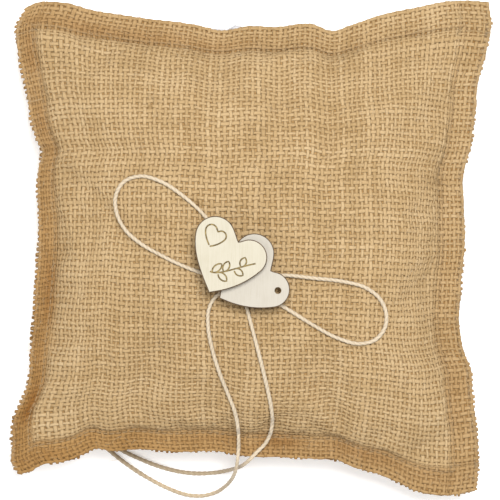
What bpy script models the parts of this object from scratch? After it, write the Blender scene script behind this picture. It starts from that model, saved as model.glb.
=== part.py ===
"""Ring bearer pillow: a flanged burlap cushion with a twine bow and two plywood hearts.

The pillow lies on its back. +Z points up through the front cover and +Y towards the edge
that was closed last. The origin is under the middle of the pillow, on the surface that it
lies on. All sizes are in metres.
"""

import math

import bmesh
import bpy
from mathutils import Matrix, Vector
from mathutils.bvhtree import BVHTree
from mathutils.geometry import interpolate_bezier

MM = 0.001

# Pillow: overall sizes over the corners, and how far each edge draws in between them
HALF_X = 98.6 * MM
HALF_Y = 101.0 * MM
PULL_SIDE = 11.0 * MM
PULL_TOP = 10.0 * MM
PULL_BOTTOM = 15.0 * MM
PULL_SHARPNESS = 1.3
FLANGE = 12.0 * MM
LINING_IN_FLANGE = 6.0 * MM
SEAM_HEIGHT = 24.5 * MM
CROWN = 23.0 * MM
BELLY = 27.0 * MM
FULLNESS = 0.55
GATHER = 0.18
PAD_CELLS = 14

# Cloth layers, and the gap that touching pieces keep
COVER = 1.0 * MM
LINING = 0.4 * MM
GAP = 0.3 * MM
FILL_SLACK = 0.2 * MM

# Seam threads, laid on the flange just outside the seam
THREAD = 0.6 * MM
SEAM_TO_THREAD = 1.8 * MM
THREAD_POINTS_PER_SIDE = 16

# Bow: the knot stands on its tack stitch, and the four strands leave its side
KNOT_X = -4.3 * MM
KNOT_Y = -12.7 * MM
KNOT_RADIUS = 4.2 * MM
KNOT_HEIGHT = 3.2 * MM
KNOT_ROUNDING = 1.1 * MM
TWINE = 1.4 * MM
TWINE_STEP = 3.6 * MM
TWINE_GAP = 0.35 * MM

# Tack stitch: a shank with a bar of thread above the knot and one under the cover
TACK_SHANK_RADIUS = 0.5 * MM
TACK_HEAD_RADIUS = 1.3 * MM
TACK_HEAD = 0.6 * MM
TACK_KNOT_RADIUS = 1.5 * MM
TACK_KNOT = 0.7 * MM
TACK_CLEARANCE = 0.35 * MM
TACK_ROOM = TACK_KNOT + 2 * GAP

# Hearts: laser-cut plywood, drawn with the tip at the origin and the cleft along +Y. The left
# lobe is the larger one.
HEART_THICKNESS = 2.0 * MM
LEFT_LOBE_RADIUS = 8.1 * MM
LEFT_LOBE_PLACE = (-9.35 * MM, 21.0 * MM)
RIGHT_LOBE_RADIUS = 7.3 * MM
RIGHT_LOBE_PLACE = (6.9 * MM, 20.4 * MM)
LOBE_START_ANGLE = math.radians(-20)
LOBE_END_ANGLE = math.radians(115)
CLEFT_RISE = 23.7 * MM
CLEFT_HALF_ANGLE = math.radians(50)
CLEFT_FULLNESS = 2.2 * MM
TIP_HALF_ANGLE = math.radians(54)
SIDE_FULLNESS = 8.0 * MM
HOLE_RADIUS = 1.4 * MM
HOLE_PLACE = (8.4 * MM, 22.4 * MM)
REAR_TIP = (-12.6 * MM, -19.9 * MM)
REAR_TURN = math.radians(-62)
FRONT_TIP = (-16.8 * MM, -17.6 * MM)
FRONT_TURN = math.radians(-30.3)

# Glue
GLUE = 0.5 * MM
GLUE_REAR_RADIUS = 3.4 * MM
GLUE_FRONT_RADIUS = 4.0 * MM
GLUE_FRONT_PLACE = (-5.0 * MM, -9.5 * MM)

ROUND_STEPS = 24
HOLE_STEPS = 20
UP = Vector((0.0, 0.0, 1.0))

# Routes of the twine in millimetres: x, y and how far it is lifted off the cover
LEFT_LOOP = [
    (-6.0, -8.5, 0.0), (-8.4, -3.2, 0.0), (-12.4, 5.0, 0.0), (-19.3, 14.2, 0.0),
    (-28.0, 22.0, 0.0), (-36.4, 27.4, 0.0), (-45.0, 29.6, 0.0), (-51.4, 27.4, 0.0),
    (-54.8, 21.8, 0.0), (-54.6, 15.2, 0.0), (-51.0, 7.9, 0.0), (-44.6, 2.2, 0.0),
    (-36.6, -2.4, 0.0), (-28.0, -6.6, 0.0), (-19.6, -9.8, 0.0), (-13.4, -11.7, 0.0),
    (-8.85, -12.6, 0.0),
]
RIGHT_LOOP = [
    (0.25, -12.1, 0.0), (6.0, -11.0, 0.0), (13.7, -10.7, 0.0), (26.0, -11.9, 0.0),
    (38.0, -13.3, 0.0), (46.9, -15.8, 0.0), (52.6, -20.3, 0.0), (55.2, -26.4, 0.0),
    (54.5, -32.4, 0.0), (50.6, -37.0, 0.0), (44.6, -38.5, 0.0), (35.4, -36.2, 0.0),
    (25.6, -31.0, 0.0), (15.8, -24.9, 0.0), (7.4, -19.9, 0.0), (-0.45, -15.1, 0.0),
]
LEFT_TAIL_ON_COVER = [
    (-7.95, -15.45, 0.0), (-11.4, -17.4, 0.0), (-14.7, -20.0, 0.0), (-16.9, -24.4, 0.0),
    (-17.2, -31.6, 0.0), (-15.6, -40.6, 0.0), (-12.6, -50.4, 0.0), (-9.0, -59.6, 0.0),
    (-6.6, -65.8, 0.4), (-5.4, -71.0, 1.2), (-4.9, -76.6, 3.0), (-4.9, -81.4, 0.7),
    (-5.2, -85.2, 0.5),
]
RIGHT_TAIL_ON_COVER = [
    (-3.35, -17.1, 0.0), (-2.2, -21.4, 0.0), (-0.6, -27.4, 0.0), (2.2, -38.0, 0.0),
    (4.9, -48.6, 0.0), (7.2, -58.4, 0.0), (8.5, -65.0, 0.4), (8.9, -70.6, 1.2),
    (8.0, -75.8, 3.2), (5.6, -80.2, 0.9), (2.4, -83.4, 0.6), (0.1, -85.2, 1.0),
]
# From the flange's edge to the floor: x, y and height
LEFT_TAIL_DROP = [
    (-5.8, -89.4, 25.4), (-6.8, -92.8, 21.0), (-8.4, -95.6, 14.6), (-10.9, -98.3, 7.8),
    (-14.6, -100.7, 2.6), (-19.6, -102.1, 0.9), (-26.0, -101.8, 0.8), (-33.4, -99.3, 0.8),
    (-41.4, -95.3, 0.8), (-49.4, -90.3, 0.8), (-56.2, -85.2, 0.8), (-62.0, -80.0, 0.8),
    (-66.8, -74.4, 0.8),
]
RIGHT_TAIL_DROP = [
    (-2.2, -87.9, 25.6), (-4.3, -89.4, 19.4), (-6.8, -90.5, 11.8), (-10.0, -91.6, 4.9),
    (-14.4, -92.5, 1.3), (-20.4, -92.9, 0.9), (-27.8, -92.4, 0.8), (-36.4, -90.4, 0.8),
    (-45.2, -87.1, 0.8), (-53.4, -83.2, 0.8), (-60.0, -79.0, 0.8), (-64.6, -74.2, 0.8),
]


def clear_scene():
    for old in list(bpy.data.objects):
        bpy.data.objects.remove(old)


def material(name, colour, roughness):
    made = bpy.data.materials.new(name)
    made.use_nodes = True
    surface = made.node_tree.nodes["Principled BSDF"]
    surface.inputs["Base Color"].default_value = (*colour, 1.0)
    surface.inputs["Roughness"].default_value = roughness
    surface.inputs["Metallic"].default_value = 0.0
    return made


def object_from(name, bm, finish):
    """A named object from a bmesh, which it frees."""
    mesh = bpy.data.meshes.new(name)
    bm.to_mesh(mesh)
    bm.free()
    mesh.materials.append(finish)
    made = bpy.data.objects.new(name, mesh)
    bpy.context.collection.objects.link(made)
    return made


# The cushion's shape, as a function of a point on the cloth. Cloth coordinates u and v run
# from -1 to 1 over the whole panel, flange and all.

SEAM_U = 1.0 - FLANGE / HALF_X
SEAM_V = 1.0 - FLANGE / HALF_Y


def draw_in(w):
    """How much of an edge's full pull there is at w, from -1 to 1 along the edge."""
    return (1.0 - w * w) ** PULL_SHARPNESS


def gathered(w, seam, across):
    """w as seen in plan: cloth that stands steeply beside the seam looks closer together."""
    if abs(w) >= seam:
        return w
    share = w / seam
    strength = GATHER * max(0.0, 1.0 - across * across)
    return seam * ((1.0 + strength) * share - strength * share**3)


def plan(u, v):
    """Where the cloth point lies in plan."""
    wide = gathered(u, SEAM_U, v / SEAM_V)
    high = gathered(v, SEAM_V, u / SEAM_U)
    reach_x = HALF_X - PULL_SIDE * draw_in(v)
    reach_y = HALF_Y - (PULL_TOP if v > 0 else PULL_BOTTOM) * draw_in(u)
    return wide * reach_x, high * reach_y


def fullness(u, v):
    """Rise of the filled pad, from 0 at the seam to 1 in the middle."""
    inside = max(0.0, 1.0 - (u / SEAM_U) ** 2) * max(0.0, 1.0 - (v / SEAM_V) ** 2)
    return inside**FULLNESS


def front_height(u, v, offset):
    """Height of a layer of the front, offset above the pillow's middle plane at the seam."""
    return SEAM_HEIGHT + offset + CROWN * fullness(u, v)


def back_height(u, v, offset):
    """Height of a layer of the back, offset below the middle plane at the seam."""
    outer = SEAM_HEIGHT - COVER_TOP - BELLY * fullness(u, v)
    return max(0.0, outer) + COVER_TOP - offset


# Layers stacked outwards from the middle plane of the flange
LINING_INNER = 0.5 * GAP
LINING_OUTER = LINING_INNER + LINING
COVER_INNER = LINING_OUTER + GAP
COVER_TOP = COVER_INNER + COVER


def grid_lines(seam, low_end, high_end):
    """Cloth coordinates of the grid lines across a panel, with one on each seam."""
    pad = [seam * (2.0 * i / PAD_CELLS - 1.0) for i in range(PAD_CELLS + 1)]
    return low_end + pad + high_end


def layer_between(name, columns, rows, top, bottom, finish):
    """A closed sheet between two heights, on the grid of the given cloth coordinates."""
    bm = bmesh.new()
    grids = []
    for height in (top, bottom):
        grid = [[bm.verts.new((*plan(u, v), height(u, v))) for v in rows] for u in columns]
        grids.append(grid)
    upper, lower = grids
    across, along = len(columns) - 1, len(rows) - 1
    for i in range(across):
        for j in range(along):
            a, b, c, d = (i, j), (i + 1, j), (i + 1, j + 1), (i, j + 1)
            rising = (i < across / 2) == (j < along / 2)
            halves = ((a, b, c), (a, c, d)) if rising else ((a, b, d), (b, c, d))
            for half in halves:
                bm.faces.new([upper[p][q] for p, q in half])
                bm.faces.new([lower[p][q] for p, q in reversed(half)])
    rim = [(i, 0) for i in range(across)]
    rim += [(across, j) for j in range(along)]
    rim += [(i, along) for i in range(across, 0, -1)]
    rim += [(0, j) for j in range(along, 0, -1)]
    for (i, j), (p, q) in zip(rim, rim[1:] + rim[:1]):
        bm.faces.new((upper[i][j], lower[i][j], lower[p][q], upper[p][q]))
    return object_from(name, bm, finish)


def cover(name, front, finish):
    columns = grid_lines(SEAM_U, [-1.0, -0.5 - 0.5 * SEAM_U], [0.5 + 0.5 * SEAM_U, 1.0])
    rows = grid_lines(SEAM_V, [-1.0, -0.5 - 0.5 * SEAM_V], [0.5 + 0.5 * SEAM_V, 1.0])
    if front:
        return layer_between(
            name, columns, rows,
            lambda u, v: front_height(u, v, COVER_TOP),
            lambda u, v: front_height(u, v, COVER_INNER),
            finish,
        )
    return layer_between(
        name, columns, rows,
        lambda u, v: back_height(u, v, COVER_INNER),
        lambda u, v: back_height(u, v, COVER_TOP),
        finish,
    )


def tack_room(u, v):
    """How far the lining lies under the front cover's gap, which leaves room for the tack."""
    return (TACK_ROOM - GAP) * fullness(u, v)


def lining(name, front, finish):
    """A lining panel, caught in the seam and reaching the edge only at the top."""
    side = SEAM_U + LINING_IN_FLANGE / HALF_X
    foot = SEAM_V + LINING_IN_FLANGE / HALF_Y
    columns = grid_lines(SEAM_U, [-side], [side])
    rows = grid_lines(SEAM_V, [-foot], [0.5 + 0.5 * SEAM_V, 1.0])
    if front:
        return layer_between(
            name, columns, rows,
            lambda u, v: front_height(u, v, LINING_OUTER) - tack_room(u, v),
            lambda u, v: front_height(u, v, LINING_INNER) - tack_room(u, v),
            finish,
        )
    return layer_between(
        name, columns, rows,
        lambda u, v: back_height(u, v, LINING_INNER),
        lambda u, v: back_height(u, v, LINING_OUTER),
        finish,
    )


def fill(name, finish):
    """The loose filling, which ends where the linings close on each other."""
    inner = slice(1, -1)
    columns = grid_lines(SEAM_U, [], [])[inner]
    rows = grid_lines(SEAM_V, [], [])[inner]
    room = GAP + FILL_SLACK
    return layer_between(
        name, columns, rows,
        lambda u, v: front_height(u, v, LINING_INNER) - tack_room(u, v) - room,
        lambda u, v: back_height(u, v, LINING_INNER) + room,
        finish,
    )


# Tubes: threads and twine


def tube(name, points, diameter, sides, closed, finish):
    """A round cord along the points, as a bevelled curve."""
    curve = bpy.data.curves.new(name, "CURVE")
    curve.dimensions = "3D"
    curve.bevel_depth = 0.5 * diameter
    curve.bevel_resolution = sides // 2 - 2
    curve.use_fill_caps = not closed
    spline = curve.splines.new("POLY")
    spline.points.add(len(points) - 1)
    spline.use_cyclic_u = closed
    for place, point in zip(spline.points, points):
        place.co = (*point, 1.0)
    curve.materials.append(finish)
    made = bpy.data.objects.new(name, curve)
    bpy.context.collection.objects.link(made)
    return made


def thread_ring(name, height, finish):
    """A row of stitches, as one thread all round the flange."""
    u_line = SEAM_U + SEAM_TO_THREAD / HALF_X
    v_line = SEAM_V + SEAM_TO_THREAD / HALF_Y
    steps = [2.0 * i / THREAD_POINTS_PER_SIDE - 1.0 for i in range(THREAD_POINTS_PER_SIDE)]
    corners = [(u_line * t, -v_line) for t in steps]
    corners += [(u_line, v_line * t) for t in steps]
    corners += [(-u_line * t, v_line) for t in steps]
    corners += [(-u_line, -v_line * t) for t in steps]
    ring = [Vector((*plan(u, v), height)) for u, v in corners]
    return tube(name, ring, THREAD, 6, True, finish)


def smooth_route(route, step):
    """Evenly spaced points on a smooth curve through the route's points."""
    ends = [2 * route[0] - route[1], *route, 2 * route[-1] - route[-2]]
    fine = []
    for before, start, end, after in zip(ends, ends[1:], ends[2:], ends[3:]):
        reach = (end - start).length / 3.0
        leave = (end - before).normalized() * reach
        arrive = (after - start).normalized() * reach
        fine += interpolate_bezier(start, start + leave, end - arrive, end, 17)[:-1]
    fine.append(route[-1])
    lengths = [0.0]
    for start, end in zip(fine, fine[1:]):
        lengths.append(lengths[-1] + (end - start).length)
    count = max(2, round(lengths[-1] / step))
    points, at = [], 0
    for i in range(count + 1):
        wanted = lengths[-1] * i / count
        while at < len(fine) - 2 and lengths[at + 1] < wanted:
            at += 1
        share = (wanted - lengths[at]) / (lengths[at + 1] - lengths[at])
        points.append(fine[at].lerp(fine[at + 1], min(share, 1.0)))
    return points


def above(surface, x, y):
    """Height and steepness factor of the surface at a place in plan."""
    hit, normal, _, _ = surface.ray_cast(Vector((x, y, 1.0)), -UP)
    return hit.z, 1.0 / normal.z


def laid_on(surface, route):
    """The route's points in metres, resting on the surface plus each point's own lift."""
    laid = []
    for x, y, lift in route:
        height, steepness = above(surface, x * MM, y * MM)
        rest = (0.5 * TWINE + TWINE_GAP) * steepness
        laid.append(Vector((x * MM, y * MM, height + rest + lift * MM)))
    return laid


def strand(name, route, finish):
    return tube(name, smooth_route(route, TWINE_STEP), TWINE, 8, False, finish)


# Turned pieces, on a vertical axis through a place in plan


def turned(name, profile, place, height, finish):
    """A ring or disc turned from a closed profile of radius and height pairs."""
    bm = bmesh.new()
    outline = [bm.verts.new((r, 0.0, z)) for r, z in profile]
    edges = [bm.edges.new(pair) for pair in zip(outline, outline[1:] + outline[:1])
             if max(pair[0].co.x, pair[1].co.x) > 0.0]
    bmesh.ops.spin(
        bm, geom=outline + edges, cent=(0, 0, 0), axis=UP, angle=math.tau,
        steps=ROUND_STEPS, use_merge=True,
    )
    bmesh.ops.remove_doubles(bm, verts=bm.verts, dist=0.001 * MM)
    bmesh.ops.recalc_face_normals(bm, faces=bm.faces)
    made = object_from(name, bm, finish)
    made.location = (*place, height)
    return made


def knot(name, base, finish):
    """The bow's knot: a low round lump with a stepped bore for the tack stitch."""
    bore = TACK_SHANK_RADIUS + TACK_CLEARANCE
    seat = TACK_HEAD_RADIUS + TACK_CLEARANCE
    floor = KNOT_HEIGHT - TACK_HEAD - 2 * TACK_CLEARANCE
    middle = 0.5 * KNOT_HEIGHT
    side = [(KNOT_RADIUS - KNOT_ROUNDING, 0.0)]
    for turn in (30, 60):
        lean = math.radians(turn)
        side.append((KNOT_RADIUS - KNOT_ROUNDING * (1 - math.sin(lean)),
                     KNOT_ROUNDING * (1 - math.cos(lean))))
    side.append((KNOT_RADIUS, KNOT_ROUNDING))
    upper = [(r, 2 * middle - z) for r, z in reversed(side)]
    profile = [(bore, 0.0), *side, *upper, (seat, KNOT_HEIGHT), (seat, floor), (bore, floor)]
    return turned(name, profile, (KNOT_X, KNOT_Y), base, finish)


def tack(name, base, finish):
    """The tack stitch, from the bar in the knot's top to the one under the cover."""
    floor = KNOT_HEIGHT - TACK_HEAD - 2 * TACK_CLEARANCE
    head_low = floor + TACK_CLEARANCE
    knot_high = -GAP - COVER - GAP
    profile = [
        (0.0, knot_high - TACK_KNOT),
        (TACK_KNOT_RADIUS, knot_high - TACK_KNOT),
        (TACK_KNOT_RADIUS, knot_high),
        (TACK_SHANK_RADIUS, knot_high),
        (TACK_SHANK_RADIUS, head_low),
        (TACK_HEAD_RADIUS, head_low),
        (TACK_HEAD_RADIUS, head_low + TACK_HEAD),
        (0.0, head_low + TACK_HEAD),
    ]
    return turned(name, profile, (KNOT_X, KNOT_Y), base, finish)


def glue_dab(name, radius, place, height, finish):
    profile = [(0.0, 0.0), (radius, 0.0), (radius, GLUE), (0.0, GLUE)]
    return turned(name, profile, place, height, finish)


# Hearts


def half_outline(side, radius, place):
    """One side of a heart, from the tip round the lobe to the cleft: side is 1 right, -1 left."""
    tip = Vector((0.0, 0.0, 0.0))
    cleft = Vector((0.0, CLEFT_RISE, 0.0))
    centre = Vector((*place, 0.0))
    lobe = []
    steps = 10
    for i in range(steps + 1):
        angle = LOBE_START_ANGLE + (LOBE_END_ANGLE - LOBE_START_ANGLE) * i / steps
        lobe.append(centre + radius * Vector((side * math.cos(angle), math.sin(angle), 0.0)))
    leave = Vector((side * math.sin(TIP_HALF_ANGLE), math.cos(TIP_HALF_ANGLE), 0.0))
    arrive = Vector((-side * math.sin(LOBE_START_ANGLE), math.cos(LOBE_START_ANGLE), 0.0))
    depart = Vector((-side * math.sin(LOBE_END_ANGLE), math.cos(LOBE_END_ANGLE), 0.0))
    opening = Vector((side * math.sin(CLEFT_HALF_ANGLE), math.cos(CLEFT_HALF_ANGLE), 0.0))
    flank = interpolate_bezier(
        tip, tip + leave * SIDE_FULLNESS, lobe[0] - arrive * SIDE_FULLNESS, lobe[0], 8
    )
    slope = interpolate_bezier(
        lobe[-1], lobe[-1] + depart * CLEFT_FULLNESS, cleft + opening * CLEFT_FULLNESS, cleft, 5
    )
    return flank + lobe[1:] + slope[1:]


def heart_outline():
    """The outline from the tip, up the right side and round both lobes back to the tip."""
    right = half_outline(1.0, RIGHT_LOBE_RADIUS, RIGHT_LOBE_PLACE)
    left = half_outline(-1.0, LEFT_LOBE_RADIUS, LEFT_LOBE_PLACE)
    return right + left[-2:0:-1]


def heart(name, tip, turn, height, hole, finish):
    """A flat heart, bored through one lobe if hole is set."""
    bm = bmesh.new()
    base = bm.faces.new([bm.verts.new(p) for p in heart_outline()])
    raised = bmesh.ops.extrude_face_region(bm, geom=[base])["geom"]
    verts = [part for part in raised if isinstance(part, bmesh.types.BMVert)]
    bmesh.ops.translate(bm, verts=verts, vec=UP * HEART_THICKNESS)
    bmesh.ops.recalc_face_normals(bm, faces=bm.faces)
    made = object_from(name, bm, finish)
    made.matrix_world = Matrix.Translation((*tip, height)) @ Matrix.Rotation(turn, 4, "Z")
    if hole:
        centre = made.matrix_world @ Vector((*HOLE_PLACE, 0.5 * HEART_THICKNESS))
        bore(made, centre, HOLE_RADIUS, 2 * HEART_THICKNESS)
    return made


def bore(target, centre, radius, length):
    """Cuts a round hole along Z through the target."""
    bm = bmesh.new()
    bmesh.ops.create_cone(
        bm, cap_ends=True, segments=HOLE_STEPS, radius1=radius, radius2=radius, depth=length
    )
    mesh = bpy.data.meshes.new(target.name + "_cutter")
    bm.to_mesh(mesh)
    bm.free()
    cutter = bpy.data.objects.new(mesh.name, mesh)
    bpy.context.collection.objects.link(cutter)
    cutter.location = centre
    cutter.hide_render = True
    cutter.display_type = "WIRE"
    cut = target.modifiers.new("bore", "BOOLEAN")
    cut.operation = "DIFFERENCE"
    cut.object = cutter


def build_pillow(finishes):
    """Covers, linings, filling and seam. Returns the surface that the bow lies on."""
    front = cover("front_cover", True, finishes["burlap_front"])
    cover("back_cover", False, finishes["burlap_back"])
    lining("lining_front", True, finishes["lining_front"])
    lining("lining_back", False, finishes["lining_back"])
    fill("fibre_fill", finishes["fibre"])
    thread_rise = COVER_TOP + GAP + 0.5 * THREAD
    thread_ring("needle_thread", SEAM_HEIGHT + thread_rise, finishes["needle"])
    thread_ring("bobbin_thread", SEAM_HEIGHT - thread_rise, finishes["bobbin"])
    vertices = [vertex.co for vertex in front.data.vertices]
    faces = [tuple(face.vertices) for face in front.data.polygons]
    surface = BVHTree.FromPolygons(vertices, faces)
    ground, _ = above(surface, KNOT_X, KNOT_Y)
    hole = TACK_SHANK_RADIUS + TACK_CLEARANCE
    bore(front, Vector((KNOT_X, KNOT_Y, ground)), hole, 4 * COVER)
    return surface, ground


def build_bow(surface, ground, finishes):
    """The knot on its tack, the two loops and the two tails."""
    knot("bow_knot", ground + GAP, finishes["twine_knot"])
    tack("tack_thread", ground + GAP, finishes["tack"])
    strand("bow_loop_left", laid_on(surface, LEFT_LOOP), finishes["twine_left_loop"])
    strand("bow_loop_right", laid_on(surface, RIGHT_LOOP), finishes["twine_right_loop"])
    for name, on_cover, drop in (
        ("tail_left", LEFT_TAIL_ON_COVER, LEFT_TAIL_DROP),
        ("tail_right", RIGHT_TAIL_ON_COVER, RIGHT_TAIL_DROP),
    ):
        falling = [Vector((x * MM, y * MM, z * MM)) for x, y, z in drop]
        strand(name, laid_on(surface, on_cover) + falling, finishes["twine_" + name])


def build_hearts(ground, finishes):
    """The rear heart glued on the knot, and the front heart glued on the rear one."""
    dab = ground + GAP + KNOT_HEIGHT + GAP
    glue_dab("glue_dab_rear", GLUE_REAR_RADIUS, (KNOT_X, KNOT_Y), dab, finishes["glue_rear"])
    rear = dab + GLUE + GAP
    heart("heart_rear", REAR_TIP, REAR_TURN, rear, True, finishes["wood_rear"])
    dab = rear + HEART_THICKNESS + GAP
    glue_dab("glue_dab_front", GLUE_FRONT_RADIUS, GLUE_FRONT_PLACE, dab, finishes["glue_front"])
    heart("heart_front", FRONT_TIP, FRONT_TURN, dab + GLUE + GAP, False, finishes["wood_front"])


def make_finishes():
    """One Principled material for each piece."""
    burlap, twine, wood = (0.60, 0.40, 0.20), (0.74, 0.60, 0.44), (0.86, 0.78, 0.62)
    white, thread, glue = (0.88, 0.87, 0.84), (0.62, 0.44, 0.24), (0.85, 0.83, 0.76)
    looks = {
        "burlap_front": (burlap, 0.95),
        "burlap_back": (burlap, 0.95),
        "lining_front": (white, 0.9),
        "lining_back": (white, 0.9),
        "fibre": (white, 1.0),
        "needle": (thread, 0.7),
        "bobbin": (thread, 0.7),
        "twine_knot": (twine, 0.8),
        "tack": (thread, 0.7),
        "twine_left_loop": (twine, 0.8),
        "twine_right_loop": (twine, 0.8),
        "twine_tail_left": (twine, 0.8),
        "twine_tail_right": (twine, 0.8),
        "glue_rear": (glue, 0.3),
        "glue_front": (glue, 0.3),
        "wood_rear": (wood, 0.6),
        "wood_front": (wood, 0.6),
    }
    return {name: material(name, *look) for name, look in looks.items()}


def main():
    clear_scene()
    finishes = make_finishes()
    surface, ground = build_pillow(finishes)
    build_bow(surface, ground, finishes)
    build_hearts(ground, finishes)


main()
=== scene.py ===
"""Looks of the ring bearer pillow: burlap woven from real yarns, twine, plywood hearts.

Lengths are in metres, in the CAD model's frame: +Z up through the pillow's front.
"""

import math

import bmesh
import bpy
import numpy as np
from mathutils import Matrix, Vector
from mathutils.bvhtree import BVHTree


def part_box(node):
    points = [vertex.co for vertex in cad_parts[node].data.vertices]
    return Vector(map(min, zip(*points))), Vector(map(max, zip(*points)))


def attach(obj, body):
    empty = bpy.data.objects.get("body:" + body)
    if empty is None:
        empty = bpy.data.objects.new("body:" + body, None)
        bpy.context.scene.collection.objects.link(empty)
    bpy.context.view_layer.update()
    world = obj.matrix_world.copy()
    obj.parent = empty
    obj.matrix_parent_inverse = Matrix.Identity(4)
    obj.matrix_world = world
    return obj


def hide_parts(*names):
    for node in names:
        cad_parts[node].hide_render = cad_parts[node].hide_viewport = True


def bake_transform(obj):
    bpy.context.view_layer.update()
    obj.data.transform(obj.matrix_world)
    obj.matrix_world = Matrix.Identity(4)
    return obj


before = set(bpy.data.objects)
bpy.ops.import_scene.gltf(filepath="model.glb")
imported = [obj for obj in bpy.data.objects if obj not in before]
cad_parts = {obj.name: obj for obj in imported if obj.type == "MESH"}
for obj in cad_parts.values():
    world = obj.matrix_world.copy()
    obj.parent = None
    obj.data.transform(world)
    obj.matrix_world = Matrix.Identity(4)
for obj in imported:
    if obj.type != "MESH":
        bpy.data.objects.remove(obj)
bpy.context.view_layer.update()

MM = 0.001
PILLOW, BOW = "pillow", "bow"

# Heights of the pillow's layers, from the CAD solids
COVER_LOW, COVER_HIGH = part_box("front_cover")
BACK_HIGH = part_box("back_cover")[1]
KNOT_LOW, KNOT_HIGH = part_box("bow_knot")
MIDDLE_Z = 0.5 * (COVER_LOW[2] + BACK_HIGH[2])
CROWN_Z = COVER_HIGH[2]
HALF_SIDE = COVER_HIGH[0]
KNOT_CENTRE = Vector((0.5 * (KNOT_LOW[0] + KNOT_HIGH[0]), 0.5 * (KNOT_LOW[1] + KNOT_HIGH[1]), 0.0))

# Outline of the flange in millimetres, from the lower corner upwards or from the left corner
# rightwards. Neighbouring edges share their corner points.
LEFT_EDGE = [
    (-95.0, -92.3), (-98.2, -88.0), (-98.3, -80.8), (-97.2, -68.9), (-94.4, -62.3),
    (-91.8, -54.5), (-90.8, -44.7), (-89.4, -30.0), (-88.6, -16.8), (-87.6, 0.0),
    (-87.4, 13.9), (-87.7, 24.0), (-87.2, 33.6), (-86.1, 40.2), (-88.2, 45.5),
    (-90.3, 53.0), (-91.8, 61.5), (-94.1, 72.6), (-96.2, 82.4), (-96.4, 90.4),
    (-93.0, 97.2),
]
RIGHT_EDGE = [
    (92.2, -99.4), (93.4, -91.8), (93.1, -78.7), (91.8, -65.6), (90.8, -56.0),
    (90.2, -49.6), (87.2, -41.0), (85.8, -31.0), (86.5, -15.0), (87.8, 0.0),
    (87.6, 17.2), (87.7, 33.6), (90.0, 40.4), (91.8, 52.9), (93.4, 69.3),
    (96.9, 82.4), (98.5, 92.0), (97.6, 99.8),
]
BOTTOM_EDGE = [
    (-95.0, -92.3), (-91.4, -91.6), (-86.3, -88.8), (-76.5, -86.9), (-69.9, -84.9),
    (-63.4, -82.0), (-56.8, -83.0), (-47.4, -82.1), (-31.0, -83.3), (-14.6, -83.0),
    (0.0, -85.3), (12.0, -85.4), (26.0, -86.1), (35.9, -86.7), (43.0, -89.6),
    (52.0, -92.2), (60.0, -95.6), (68.3, -99.4), (80.0, -101.2), (92.2, -99.4),
]
TOP_EDGE = [
    (-93.0, 97.2), (-86.5, 99.9), (-79.0, 99.9), (-63.3, 96.3), (-44.1, 93.3),
    (-24.4, 91.0), (-12.0, 88.7), (-1.0, 90.1), (11.0, 89.8), (24.8, 90.9),
    (33.6, 88.2), (42.8, 91.0), (54.0, 94.6), (65.0, 97.0), (84.7, 100.4), (97.6, 99.8),
]

# Cushion: width of the flange, the seam's place on the way out, half the gap between the covers,
# and the share of it that closes towards the raw edges
FLANGE = 12.0 * MM
SEAM = 1.0 - FLANGE / HALF_SIDE
LAYER = 1.7 * MM
EDGE_CLOSING = 0.45
# How full the pad's section is, how far its weave is drawn in between the corners, how much of it
# runs down its side at the seam, and how fast the waves of the four edges fade away inwards
FULLNESS = 0.50
GATHER = 0.18
SIDE_ROLL = 0.075
EDGE_FADE = 2.6
# The back bulges down by this much, and is pressed flat where it would pass the floor
BELLY = 27.0 * MM
BELLY_SOFTNESS = 2.5 * MM
# How far the seam lies outwards: left and right, then low and high, and the width of that band
SEAM_SHIFT = ((0.036, 0.0), (0.010, 0.020))
SHIFT_WIDTH = 0.075
# The crease along the seam, which comes and goes; the puckers across it; the finer ladder of
# ridges just outside it; and broad soft folds over the pad
CREASE_DEPTH, CREASE_WIDTH = 0.95 * MM, 3.2 * MM
CREASE_CHANGE, CHANGE_LENGTH = 0.60, 17 * MM
PUCKER_DEPTH, PUCKER_LENGTH, PUCKER_REACH = 0.45 * MM, 5.2 * MM, 9 * MM
LADDER_SHARE, LADDER_LENGTH = 0.7, 2.4 * MM
LADDER_PLACE, LADDER_REACH = 6 * MM, 5 * MM
SOFT_FOLD_DEPTH, SOFT_FOLD_SIZE = 0.35 * MM, 17 * MM
# The flange's waves: height, size, two offsets and a seed. Its left side is frilled as well.
# They fade out this far inside the seam
FLANGE_WAVES = [(1.5 * MM, 21 * MM, 5, 9, 11), (0.6 * MM, 9 * MM, 15, 3, 12)]
FRILL = 1.6 * MM
FRILL_SIZE = 7.5 * MM
WAVE_FADE = 0.06
# Corners of the flange lift or droop: left bottom, right bottom, left top, right top
CORNER_LIFT = (-4.5 * MM, -3.0 * MM, 1.0 * MM, 3.0 * MM)
CORNER_START = 0.45
# Places where the flange is pinched: x, y and depth in millimetres
PINCHES = [
    (-88.0, 40.2, 2.6), (-12.0, 91.0, 2.4), (34.0, 91.0, 2.8), (87.5, -36.0, 2.6),
    (-61.0, -84.0, 2.0), (44.0, -90.0, 2.0),
]
PINCH_RADIUS = 6.0 * MM

# Cloth simulation of the front cover: grid, slack and pressure, and how wide a rim it leaves alone
CLOTH_LINES = 91
CLOTH_SLACK = 0.022
CLOTH_PRESSURE = 4.0
CLOTH_FRAMES = 24
CLOTH_STIFFNESS = 25.0
CLOTH_DAMPING = 15.0
RIM_SHARE = 0.03
# What the simulation moves the cover's points by, filled in by inflate()
MOVED = np.zeros((CLOTH_LINES, CLOTH_LINES, 3))

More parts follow.
